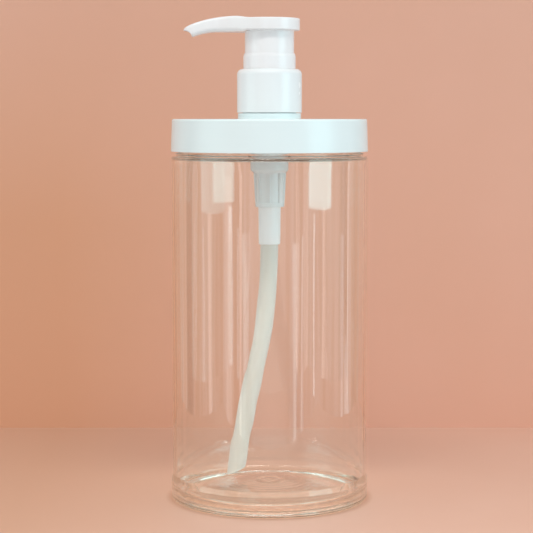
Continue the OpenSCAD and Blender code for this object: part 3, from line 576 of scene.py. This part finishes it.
# Natural polypropylene, unpigmented: milky and see-through at a wall of 1 mm, glossy.
natural_pp, tree, place = new_material("natural_polypropylene")
cloud = add(tree, "ShaderNodeTexNoise", {"Vector": place, "Scale": 160.0, "Detail": 2.0})
skin = add(tree, "ShaderNodeBsdfPrincipled", {
    "Base Color": linear("F8F9F9"), "IOR": 1.49, "Transmission Weight": 0.06,
    "Roughness": add(tree, "ShaderNodeMapRange", (cloud, 0.0, 1.0, 0.16, 0.26)),
    "Subsurface Weight": 0.3, "Subsurface Radius": (1, 1, 1), "Subsurface Scale": 0.001,
})
add(tree, "ShaderNodeOutputMaterial", {"Surface": skin})

rim_top_z = housing_low.z + rim_h
housing_profile = [(core_bore_r, housing_low.z), (ribs_low_r - crease_r, housing_low.z)]
housing_profile += arc(ribs_low_r - crease_r, housing_low.z + crease_r, crease_r, -90, 0, 4)
housing_profile += arc(ribs_low_r - crease_r, rim_top_z - crease_r, crease_r, 0, 90, 4)
housing_profile += [(core_r, rim_top_z), (core_r, ribs_top_z), (ribs_top_r - small, ribs_top_z)]
housing_profile += arc(ribs_top_r - crease_r, ribs_top_z + crease_r, crease_r, -90, -40, 4)
housing_profile += arc(barrel_r - cone_r, barrel_low_z + small, cone_r, -40, 0, 4)
housing_profile += [(barrel_r, housing_high.z - flange_t), (flange_r, housing_high.z - flange_t)]
housing_profile += [(flange_r, housing_high.z), (barrel_bore_r, housing_high.z)]
housing_profile += [(barrel_bore_r, barrel_low_z + cone_in_h), (core_bore_r, barrel_low_z - tiny)]
housing_shell = revolve("housing_shell", housing_profile, sides=96)
housing_shell.data.materials.append(natural_pp)
rib_root_r = core_r - small
rib = plate("housing_ribs", [
    (rib_root_r, housing_low.z + small), (ribs_low_r, housing_low.z + small),
    (ribs_top_r, ribs_top_z + fine_r), (rib_root_r, ribs_top_z + fine_r),
], rib_t, rib_edge_r)
around = around_tree()
grow(rib, around, {"Count": rib_count, "First Turn": -math.pi / 2, "Material": natural_pp})
for piece in (housing_shell, rib):
    smooth(piece)
    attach(piece, "pump")
    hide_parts("housing")

# ---------------------------------------------------------------------------------------------
# Valve body. White polypropylene, plugged into the housing from below. It seats the ball of the
# inlet valve under three stop ribs, and grips the dip tube in the socket at its lower end.
valve_plug_r, valve_waist_r, valve_mouth_r = 0.00555, 0.00535, 0.0051
ball_room_r, inlet_r, socket_r = 0.0032, 0.0016, 0.0043
socket_h, seat_down, plug_chamfer = 0.013, 0.0032, 0.0005
socket_top_z, seat_z = valve_low.z + socket_h, housing_low.z - seat_down
valve_profile = [(socket_r, valve_low.z + crease_r), (socket_r + crease_r, valve_low.z)]
valve_profile += arc(valve_mouth_r - crease_r, valve_low.z + crease_r, crease_r, -90, 0, 4)
valve_profile += [(valve_waist_r, housing_low.z), (valve_plug_r, housing_low.z)]
valve_profile += [(valve_plug_r, valve_high.z - plug_chamfer)]
valve_profile += [(valve_plug_r - plug_chamfer, valve_high.z)]
valve_profile += [(ball_room_r, valve_high.z), (ball_room_r, seat_z + ball_room_r - inlet_r)]
valve_profile += [(inlet_r, seat_z), (inlet_r, socket_top_z), (socket_r, socket_top_z)]
valve_shell = revolve("valve_shell", valve_profile, sides=96)

# White polypropylene again, straight off the mould: satin, neutral white.
valve_pp, tree, place = new_material("white_polypropylene_satin")
cloud = add(tree, "ShaderNodeTexNoise", {"Vector": place, "Scale": 220.0, "Detail": 2.0})
tint = {0: cloud, 6: linear("FDF9F8"), 7: linear("FFFBFA")}
skin = add(tree, "ShaderNodeBsdfPrincipled", {
    "Base Color": add(tree, "ShaderNodeMix", tint, data_type="RGBA"), "Roughness": 0.34, "IOR": 1.49,
    "Subsurface Weight": 0.15, "Subsurface Radius": (1, 1, 1), "Subsurface Scale": 0.0006,
})
add(tree, "ShaderNodeOutputMaterial", {"Surface": skin})
valve_shell.data.materials.append(valve_pp)
ball_lift, stop_gap, stop_t = 0.0016, 0.0003, 0.0008
stop_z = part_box("inlet_ball")[1].z + ball_lift + stop_gap
stop_out_r, stop_top_z = valve_plug_r - stop_t, valve_high.z - tiny
stop_rib = plate("valve_stops", [
    (inlet_r, stop_z), (stop_out_r, stop_z), (stop_out_r, stop_top_z), (inlet_r, stop_top_z),
], stop_t, tiny)
grow(stop_rib, around, {"Count": 3, "First Turn": 0.0, "Material": valve_pp})
for piece in (valve_shell, stop_rib):
    smooth(piece)
    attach(piece, "pump")
    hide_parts("valve_body")

# Inlet ball: polished stainless steel, 4.76 mm, with a trace of tumbling marks.
steel, tree, place = new_material("polished_stainless_steel")
marks = add(tree, "ShaderNodeTexNoise", {"Vector": place, "Scale": 1500.0, "Detail": 3.0})
skin = add(tree, "ShaderNodeBsdfPrincipled", {
    "Base Color": linear("C9C7C2"), "Metallic": 1.0,
    "Roughness": add(tree, "ShaderNodeMapRange", (marks, 0.0, 1.0, 0.08, 0.22)),
})
add(tree, "ShaderNodeOutputMaterial", {"Surface": skin})
finish_node("inlet_ball", steel)

# ---------------------------------------------------------------------------------------------
# Dip tube. Extruded natural polyethylene, pushed into the valve body's socket. It was coiled once,
# so it leans to one side and straightens again towards its slanted end just over the base.
tube_r, tube_bore_r, tube_end_gap, tube_rows = 0.00425, 0.00325, 0.0012, 90
tube_bend_h, tube_lean, tube_relax_h, tube_relax = 0.060, math.radians(12.5), 0.035, math.radians(5.5)
tube_cut = math.tan(math.radians(30))
tube_fall = valve_low.z - (floor_top_z + tube_end_gap)
tube_end = tube_fall - tube_r * tube_cut
tube_profile = [(tube_r, -tube_end * i / tube_rows) for i in range(tube_rows, -1, -1)]
tube_profile += [(tube_r, socket_top_z - valve_low.z), (tube_bore_r, socket_top_z - valve_low.z)]
tube_profile += [(tube_bore_r, -tube_end * i / tube_rows) for i in range(tube_rows + 1)]
dip_tube = revolve("dip_tube_bent", tube_profile, sides=48)


def lean_tree():
    """Node tree that bends a straight hanging tube towards -X. Inputs: the height of its socket,
    its fall, the stretch over which it bends and the slope that it reaches, the stretch at the
    end over which it straightens and by what slope, and the slope of its end cut."""
    tree, given = open_tree(
        "leaning_tube", ("Top", "Fall", "Bend", "Lean", "Relax", "Relax Slope", "End", "Cut"),
    )
    cut_stretch = 0.012
    place = add(tree, "ShaderNodeSeparateXYZ", (add(tree, "GeometryNodeInputPosition"),)).outputs
    depth = add(tree, "ShaderNodeMath", (place["Z"], -1.0), operation="MULTIPLY")
    depth = add(tree, "ShaderNodeMath", (depth, 0.0), operation="MAXIMUM")
    bent = add(tree, "ShaderNodeMath", (depth, given["Bend"]), operation="MINIMUM")
    relaxed = add(tree, "ShaderNodeMath", (depth, given["Fall"]), operation="SUBTRACT")
    relaxed = add(tree, "ShaderNodeMath", (relaxed, given["Relax"]), operation="ADD")
    relaxed = add(tree, "ShaderNodeMath", (relaxed, 0.0), operation="MAXIMUM")
    bend_share = add(tree, "ShaderNodeMath", (bent, given["Bend"]), operation="DIVIDE")
    relax_share = add(tree, "ShaderNodeMath", (relaxed, given["Relax"]), operation="DIVIDE")
    # Sideways shift: the slope grows along the bend, holds, and falls again along the end
    drift = add(tree, "ShaderNodeMath", (bent, bend_share), operation="MULTIPLY")
    drift = add(tree, "ShaderNodeMath", (drift, 0.5), operation="MULTIPLY")
    drift = add(tree, "ShaderNodeMath", (drift, depth), operation="ADD")
    drift = add(tree, "ShaderNodeMath", (drift, bent), operation="SUBTRACT")
    drift = add(tree, "ShaderNodeMath", (given["Lean"], drift), operation="MULTIPLY")
    return_drift = add(tree, "ShaderNodeMath", (relaxed, relax_share), operation="MULTIPLY")
    return_drift = add(tree, "ShaderNodeMath", (return_drift, 0.5), operation="MULTIPLY")
    relax_slope = given["Relax Slope"]
    return_drift = add(tree, "ShaderNodeMath", (relax_slope, return_drift), operation="MULTIPLY")
    shift = add(tree, "ShaderNodeMath", (drift, return_drift), operation="SUBTRACT")
    leaned = add(tree, "ShaderNodeMath", (given["Lean"], bend_share), operation="MULTIPLY")
    straightened = add(tree, "ShaderNodeMath", (relax_slope, relax_share), operation="MULTIPLY")
    slope = add(tree, "ShaderNodeMath", (leaned, straightened), operation="SUBTRACT")
    angle = add(tree, "ShaderNodeMath", (slope,), operation="ARCTANGENT")
    # The slanted end: points slide along the tube the further out they are, only near the end
    cut_from = add(tree, "ShaderNodeMath", (given["End"], cut_stretch), operation="SUBTRACT")
    near_end = add(tree, "ShaderNodeMapRange", (depth, cut_from, given["End"]))
    along = add(tree, "ShaderNodeMath", (place["X"], given["Cut"]), operation="MULTIPLY")
    along = add(tree, "ShaderNodeMath", (along, near_end), operation="MULTIPLY")
    sine = add(tree, "ShaderNodeMath", (angle,), operation="SINE")
    cosine = add(tree, "ShaderNodeMath", (angle,), operation="COSINE")
    x = add(tree, "ShaderNodeMath", (along, sine), operation="MULTIPLY")
    x = add(tree, "ShaderNodeMath", (place["X"], cosine, x), operation="MULTIPLY_ADD")
    x = add(tree, "ShaderNodeMath", (x, shift), operation="SUBTRACT")
    dip = add(tree, "ShaderNodeMath", (place["X"], sine), operation="MULTIPLY")
    lift = add(tree, "ShaderNodeMath", (along, cosine), operation="MULTIPLY")
    lift = add(tree, "ShaderNodeMath", (lift, dip), operation="SUBTRACT")
    z = add(tree, "ShaderNodeMath", (given["Top"], place["Z"]), operation="ADD")
    z = add(tree, "ShaderNodeMath", (z, lift), operation="ADD")
    spot = add(tree, "ShaderNodeCombineXYZ", (x, place["Y"], z))
    moved = add(tree, "GeometryNodeSetPosition", {"Geometry": given["Geometry"], "Position": spot})
    return close_tree(tree, given, moved)


# Natural polyethylene: milky, waxy and a little warm, with faint lines along the extrusion. Where the
# wall is seen on edge at the sides, a painted light makes the tint paler than in the middle.
natural_pe, tree, place = new_material("extruded_natural_polyethylene")
drawn_out = add(tree, "ShaderNodeMapping", {"Vector": place, "Scale": (1, 1, 0.05)})
lines = add(tree, "ShaderNodeTexNoise", {"Vector": drawn_out, "Scale": 700.0, "Detail": 2.0})
# Painted light: the tint is paler where the surface is seen on edge.
painted_edge_light = add(tree, "ShaderNodeLayerWeight", {"Blend": 0.4}).outputs["Facing"]
tint = {0: painted_edge_light, 6: linear("E1DBD1"), 7: linear("F4ECE4")}
skin = add(tree, "ShaderNodeBsdfPrincipled", {
    "Base Color": add(tree, "ShaderNodeMix", tint, data_type="RGBA"), "Roughness": 0.32, "IOR": 1.51,
    "Normal": add(tree, "ShaderNodeBump", {"Height": lines, "Strength": 0.1, "Distance": 0.0001}),
    "Transmission Weight": 0.04,
    "Subsurface Weight": 0.25, "Subsurface Radius": (1, 1, 1), "Subsurface Scale": 0.001,
})
add(tree, "ShaderNodeOutputMaterial", {"Surface": skin})
grow(dip_tube, lean_tree(), {
    "Top": valve_low.z, "Fall": tube_fall, "Bend": tube_bend_h, "Lean": math.tan(tube_lean),
    "Relax": tube_relax_h, "Relax Slope": math.tan(tube_relax), "End": tube_end, "Cut": tube_cut,
    "Material": natural_pe,
})
smooth(dip_tube)
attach(dip_tube, "pump")
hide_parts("dip_tube")

# ---------------------------------------------------------------------------------------------
# Return spring. Stainless wire of 0.9 mm, six open turns between two closed ends. It stands on the
# valve body and carries the rod's disc, so it shortens as the head goes down.
spring_low, spring_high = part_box("spring")
wire_r, coil_r, open_turns, stroke = 0.00045, 0.0045, 6.0, 0.0084


def coil_tree():
    """Node tree of a compression spring. Inputs: where it starts, its height, the radius of its
    coil and of its wire, and how many turns are open between its two closed ends."""
    tree, given = open_tree("compression_spring", ("Start", "Height", "Coil", "Wire", "Open Turns"))
    rings, wire_sides, closed_pitch = 256, 12, 2.15
    line = add(tree, "GeometryNodeCurvePrimitiveLine")
    fine = add(tree, "GeometryNodeResampleCurve", {"Curve": line, "Count": rings})
    number = add(tree, "GeometryNodeInputIndex")
    share = add(tree, "ShaderNodeMath", (number, rings - 1.0), operation="DIVIDE")
    all_turns = add(tree, "ShaderNodeMath", (given["Open Turns"], 2.0), operation="ADD")
    turns = add(tree, "ShaderNodeMath", (share, all_turns), operation="MULTIPLY")
    turn = add(tree, "ShaderNodeMath", (turns, 2 * math.pi), operation="MULTIPLY")
    closed_rise = add(tree, "ShaderNodeMath", (given["Wire"], closed_pitch), operation="MULTIPLY")
    both_ends = add(tree, "ShaderNodeMath", (closed_rise, given["Wire"]), operation="ADD")
    both_ends = add(tree, "ShaderNodeMath", (both_ends, 2.0), operation="MULTIPLY")
    travel = add(tree, "ShaderNodeMath", (given["Height"], both_ends), operation="SUBTRACT")
    first = add(tree, "ShaderNodeMath", (turns, 1.0), operation="MINIMUM")
    first = add(tree, "ShaderNodeMath", (first, closed_rise), operation="MULTIPLY")
    last_turn = add(tree, "ShaderNodeMath", (given["Open Turns"], 1.0), operation="ADD")
    middle = add(tree, "ShaderNodeMapRange", (turns, 1.0, last_turn, 0.0, travel))
    last = add(tree, "ShaderNodeMath", (turns, last_turn), operation="SUBTRACT")
    last = add(tree, "ShaderNodeMath", (last, 0.0), operation="MAXIMUM")
    last = add(tree, "ShaderNodeMath", (last, closed_rise), operation="MULTIPLY")
    rise = add(tree, "ShaderNodeMath", (first, middle), operation="ADD")
    rise = add(tree, "ShaderNodeMath", (rise, last), operation="ADD")
    foot = add(tree, "ShaderNodeMath", (given["Start"], given["Wire"]), operation="ADD")
    place = []
    for swing in ("COSINE", "SINE"):
        across = add(tree, "ShaderNodeMath", (turn,), operation=swing)
        place.append(add(tree, "ShaderNodeMath", (across, given["Coil"]), operation="MULTIPLY"))
    place.append(add(tree, "ShaderNodeMath", (foot, rise), operation="ADD"))
    spot = add(tree, "ShaderNodeCombineXYZ", place)
    coil = add(tree, "GeometryNodeSetPosition", {"Geometry": fine, "Position": spot})
    circle = {"Resolution": wire_sides, "Radius": given["Wire"]}
    wire = add(tree, "GeometryNodeCurvePrimitiveCircle", circle)
    swept = {"Curve": coil, "Profile Curve": wire, "Fill Caps": True}
    return close_tree(tree, given, add(tree, "GeometryNodeCurveToMesh", swept))


# Drawn stainless spring wire: grey, with fine drawing lines round the coil.
wire_steel, tree, place = new_material("drawn_stainless_wire")
marks = add(tree, "ShaderNodeTexNoise", {"Vector": place, "Scale": 3000.0, "Detail": 2.0})
skin = add(tree, "ShaderNodeBsdfPrincipled", {
    "Base Color": linear("BDBBB6"), "Metallic": 1.0,
    "Roughness": add(tree, "ShaderNodeMapRange", (marks, 0.0, 1.0, 0.2, 0.36)),
})
add(tree, "ShaderNodeOutputMaterial", {"Surface": skin})
spring = link_object("spring_wire", bpy.data.meshes.new("spring_wire"))
grow(spring, coil_tree(), {
    "Start": spring_low.z, "Height": spring_high.z - spring_low.z, "Coil": coil_r, "Wire": wire_r,
    "Open Turns": open_turns, "Material": wire_steel,
})
spring.data.shade_smooth()
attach(spring, "pump")
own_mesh(spring)
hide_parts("spring")

# ---------------------------------------------------------------------------------------------
# Plunger: stem and finned rod in white polypropylene, piston in natural polypropylene on the stem,
# and the polyethylene washer that seals the housing's flange on the lid's neck.
finish_node("stem", valve_pp)
finish_node("piston_rod", valve_pp)
finish_node("piston", natural_pp)

# Low-density polyethylene washer, die-cut: grey white and dull, with a faint grain.
washer, tree, place = new_material("die_cut_polyethylene")
grain = add(tree, "ShaderNodeTexNoise", {"Vector": place, "Scale": 1200.0, "Detail": 2.0})
skin = add(tree, "ShaderNodeBsdfPrincipled", {
    "Base Color": linear("E2E4E3"), "Roughness": 0.5, "IOR": 1.51,
    "Normal": add(tree, "ShaderNodeBump", {"Height": grain, "Strength": 0.2, "Distance": 0.0001}),
})
add(tree, "ShaderNodeOutputMaterial", {"Surface": skin})
finish_node("pump_gasket", washer)

# ---------------------------------------------------------------------------------------------
# Guide ring. White polypropylene, clamped on the housing's flange: its outer ring takes the head's
# skirt, its floor carries the stem guide, and a plug closes the housing.
ring_low, ring_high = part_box("guide_ring")
ring_r, ring_bore_r, ring_lip_h, ring_lip_t, ring_flange_t = 0.0123, 0.0117, 0.0014, 0.00025, 0.0016
hub_r, hub_bore_r, hub_h, ring_floor_up = 0.0054, 0.0041, 0.0022, 0.0008
plug_r, plug_in_r, plug_h = 0.00775, 0.00665, 0.0048
ring_z, ring_flange_top_z = housing_high.z, housing_high.z + ring_flange_t
ring_floor_z, plug_low_z = ring_z + ring_floor_up, ring_z - plug_h
hub_low_z, hub_top_z = ring_low.z, ring_floor_z + hub_h
ring_profile = [(plug_r, ring_z), (flange_r, ring_z), (flange_r, ring_flange_top_z)]
ring_profile += [(ring_r, ring_flange_top_z), (ring_r, ring_high.z - ring_lip_h)]
ring_profile += arc(ring_bore_r + ring_lip_t - tiny, ring_high.z - tiny, tiny, 0, 90, 3)
ring_profile += [(ring_bore_r, ring_high.z), (ring_bore_r, ring_floor_z), (hub_r, ring_floor_z)]
ring_profile += [(hub_r, hub_top_z), (hub_bore_r, hub_top_z), (hub_bore_r, hub_low_z)]
ring_profile += [(hub_r, hub_low_z), (hub_r, ring_z), (plug_in_r, ring_z)]
ring_profile += [(plug_in_r, plug_low_z), (plug_r, plug_low_z)]
ring_shell = revolve("ring_shell", ring_profile, sides=128)
head_pp = moulded_white("moulded_white_head_polypropylene", "F1EFEE", "F5F2F1")
ring_shell.data.materials.append(head_pp)
smooth(ring_shell)
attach(ring_shell, "pump")
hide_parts("guide_ring")

# ---------------------------------------------------------------------------------------------
# Collar. White polypropylene, round-shouldered and smooth outside, with a 4.2 mm pitch thread in its
# bore; it screws down on the lid's neck and clamps the pump's flange.
collar_low, collar_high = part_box("collar")
collar_drop, collar_top_t, collar_thread_end, collar_thread_shift = 0.00015, 0.0016, 0.0005, 0.00212
collar_low_z = collar_low.z - collar_drop
collar_r, collar_bore_r, collar_edge_r, collar_hole_r = 0.01525, 0.0140, 0.0025, 0.0126
collar_ceiling_z = collar_high.z - collar_top_t
collar_profile = [(collar_bore_r + crease_r, collar_low_z)]
collar_profile += arc(collar_r - fine_r, collar_low_z + fine_r, fine_r, -90, 0, 3)
collar_profile += arc(collar_r - collar_edge_r, collar_high.z - collar_edge_r, collar_edge_r, 0, 90, 10)
collar_profile += [(collar_hole_r, collar_high.z), (collar_hole_r, collar_ceiling_z)]
collar_profile += [(collar_bore_r, collar_ceiling_z)]
collar_thread_from = len(collar_profile)
collar_profile += [(collar_bore_r, collar_ceiling_z - collar_thread_end)]
collar_profile += [(collar_bore_r, collar_low.z + collar_thread_end)]
collar_shell = revolve("collar_shell", collar_profile, sides=128, threaded=collar_thread_from)
collar_pp = moulded_white("moulded_white_collar_polypropylene", "EBEDEC", "EEF0F0")
grow(collar_shell, thread, {
    "Start": boss_top_z + pump_thread_up - collar_thread_shift, "Pitch": pump_pitch, "Turns": 1.6,
    "Depth": -0.0002, "Crest": 0.0005, "Flank": 0.0005, "Material": collar_pp,
})
smooth(collar_shell)
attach(collar_shell, "collar")
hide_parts("collar")

# ---------------------------------------------------------------------------------------------
# Head. White polypropylene in one moulding: round finger plate, down-turned beak with the scooped
# outlet, skirt that runs in the guide ring, and the socket that grips the stem.
stem_top_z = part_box("stem")[1].z
skirt_r, skirt_wall_t, skirt_h, skirt_in, skirt_fillet_r = 0.01155, 0.001, 0.0116, 0.0009, 0.0005
plate_r, plate_h, plate_sink = 0.0143, 0.0056, 0.001
skirt_low_z = ring_high.z - skirt_in
plate_z = skirt_low_z + skirt_h
plate_top_z = plate_z + plate_h
beak_reach, beak_half_w, narrow_start, narrow_len = 0.0405, 0.0052, 0.002, 0.022
hump_h, hump_start, hump_reach, beak_top_r = 0.00092, 0.0086, 0.016, 0.058
beak_drop, beak_drop_len, beak_fall_reach, beak_under_r = 0.0007, 0.002, 0.024, 0.033
plate_edge_r, beak_low_edge_r, beak_top_edge_r = 0.0005, 0.002, 0.0014
scoop_r, scoop_back, scoop_up = 0.0039, 0.0005, 0.0012
outlet_r, outlet_rise, outlet_tip = 0.0016, 0.0025, 13
stem_socket_r, stem_bore_r, socket_wall_t, stem_socket_h = 0.00405, 0.0026, 0.0013, 0.0074


def ease(t):
    """Rises smoothly from 0 to 1."""
    u = min(max(t, 0.0), 1.0)
    return u * u * (3 - 2 * u)


def beak_share(x):
    """How far the section has turned from plate to beak at x."""
    return ease((-x - hump_start) / (hump_reach - hump_start))


def round_fall(x, start, radius):
    """Fall of a round end that starts at a reach and has a radius."""
    return radius - math.sqrt(radius ** 2 - (x + start) ** 2) if -x > start else 0.0


def head_top(x):
    """Height of the head's top at x."""
    return plate_top_z + hump_h * beak_share(x) - round_fall(x, hump_reach, beak_top_r)


def head_under(x):
    """Height of the head's underside at x."""
    step_down = beak_drop * ease((-x - skirt_r + skirt_wall_t) / beak_drop_len)
    return plate_z - step_down - round_fall(x, beak_fall_reach, beak_under_r)


def head_half_w(x):
    """Half of the head's width at x, between the plate's centre and the round tip."""
    return plate_r + (beak_half_w - plate_r) * ease((-x - narrow_start) / narrow_len)


def head_skin():
    """Closed skin of the finger plate and beak: rings round the rim, and flat strips across."""
    tip_x = beak_half_w - beak_reach
    sides, tip, side_steps = 40, 24, 72
    half = arc(0.0, 0.0, plate_r, 0, 90, sides)
    half += [(x, head_half_w(x)) for x in (tip_x * i / side_steps for i in range(1, side_steps + 1))]
    half += arc(tip_x, 0.0, beak_half_w, 90, 180, tip)[1:]
    outline = half + [(x, -y) for x, y in half[-2:0:-1]]
    shape = bmesh.new()
    rings = []
    edge_steps = 8
    levels = [(i, False) for i in range(edge_steps + 1)]
    levels += [(i, True) for i in range(edge_steps, -1, -1)]
    for step, upper in levels:
        turn = math.radians(90 * step / edge_steps)
        ring = []
        for x, y in outline:
            share = beak_share(x)
            beak_edge_r = beak_top_edge_r if upper else beak_low_edge_r
            edge = plate_edge_r + (beak_edge_r - plate_edge_r) * share
            spine = Vector((min(max(x, tip_x), 0.0), 0.0))
            out = Vector((x, y))
            inset = out + (spine - out).normalized() * edge * (1 - math.sin(turn))
            rise = edge * (1 - math.cos(turn))
            z = head_top(inset.x) - rise if upper else head_under(inset.x) + rise
            ring.append(shape.verts.new((inset.x, inset.y, z)))
        rings.append(ring)
    count, mid = len(outline), len(half) - 1
    for low, high in zip(rings, rings[1:]):
        for i in range(count):
            shape.faces.new((low[i], low[(i + 1) % count], high[(i + 1) % count], high[i]))
    for ring, flip in ((rings[0], True), (rings[-1], False)):
        strips = [(ring[0], ring[1], ring[count - 1]), (ring[mid - 1], ring[mid], ring[mid + 1])]
        pairs = [(i, count - i) for i in range(1, mid - 1)]
        strips += [(ring[i], ring[i + 1], ring[j - 1], ring[j]) for i, j in pairs]
        for strip in strips:
            shape.faces.new(strip[::-1] if flip else strip)
    return settle("head_shell", shape)


def rod(name, start, end, radius, sides=64):
    """A closed round rod between two points, for cutting."""
    shape = bmesh.new()
    axis = Vector(end) - Vector(start)
    bmesh.ops.create_cone(
        shape, cap_ends=True, segments=sides, radius1=radius, radius2=radius, depth=axis.length,
    )
    turn = axis.to_track_quat("Z", "Y").to_matrix().to_4x4()
    turn.translation = (Vector(start) + Vector(end)) / 2
    bmesh.ops.transform(shape, matrix=turn, verts=shape.verts)
    return settle(name, shape)


def combine(piece, tools):
    """Applies (operation, object) pairs to a piece one after another and removes the tools."""
    for operation, tool in tools:
        modifier = piece.modifiers.new("cut", "BOOLEAN")
        modifier.operation, modifier.object, modifier.solver = operation, tool, "EXACT"
        keep_result(piece)
        bpy.data.objects.remove(tool)


head_shell = head_skin()
socket_out_r, skirt_in_r = stem_socket_r + socket_wall_t, skirt_r - skirt_wall_t
socket_low_z = stem_top_z - stem_socket_h
plate_in_z = plate_z + plate_sink
skirt_profile = [(stem_socket_r, stem_top_z), (stem_socket_r, socket_low_z)]
skirt_profile += [(socket_out_r, socket_low_z), (socket_out_r, plate_z), (skirt_in_r, plate_z)]
skirt_profile += [(skirt_in_r, skirt_low_z)]
skirt_profile += arc(skirt_r - fine_r, skirt_low_z + fine_r, fine_r, -90, 0, 3)
skirt_profile += arc(skirt_r + skirt_fillet_r, plate_z - skirt_fillet_r, skirt_fillet_r, 180, 90, 6)
skirt_profile += [(skirt_r + small, plate_in_z), (stem_bore_r, plate_in_z), (stem_bore_r, stem_top_z)]
skirt = revolve("skirt", skirt_profile, sides=128)
outlet_z = plate_z + outlet_rise
knee_x, slope = -beak_fall_reach, math.radians(outlet_tip)
mouth = (knee_x - beak_reach * math.cos(slope), 0, outlet_z - beak_reach * math.sin(slope))
scoop_x, scoop_z = scoop_back - beak_reach, head_under(-beak_reach) + scoop_up
scoop_ends = (scoop_x, -plate_r, scoop_z), (scoop_x, plate_r, scoop_z)
combine(head_shell, [
    ("UNION", skirt),
    ("DIFFERENCE", rod("bore", (0, 0, stem_top_z - tiny), (0, 0, outlet_z), stem_bore_r)),
    ("DIFFERENCE", rod("way", (0, 0, outlet_z), (knee_x, 0, outlet_z), outlet_r)),
    ("DIFFERENCE", rod("tip", (knee_x + outlet_r / 4, 0, outlet_z), mouth, outlet_r)),
    ("DIFFERENCE", rod("scoop", *scoop_ends, scoop_r, sides=96)),
])
head_shell.data.materials.clear()
head_shell.data.materials.append(head_pp)
smooth(head_shell, degrees=28)
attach(head_shell, "head")
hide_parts("actuator")
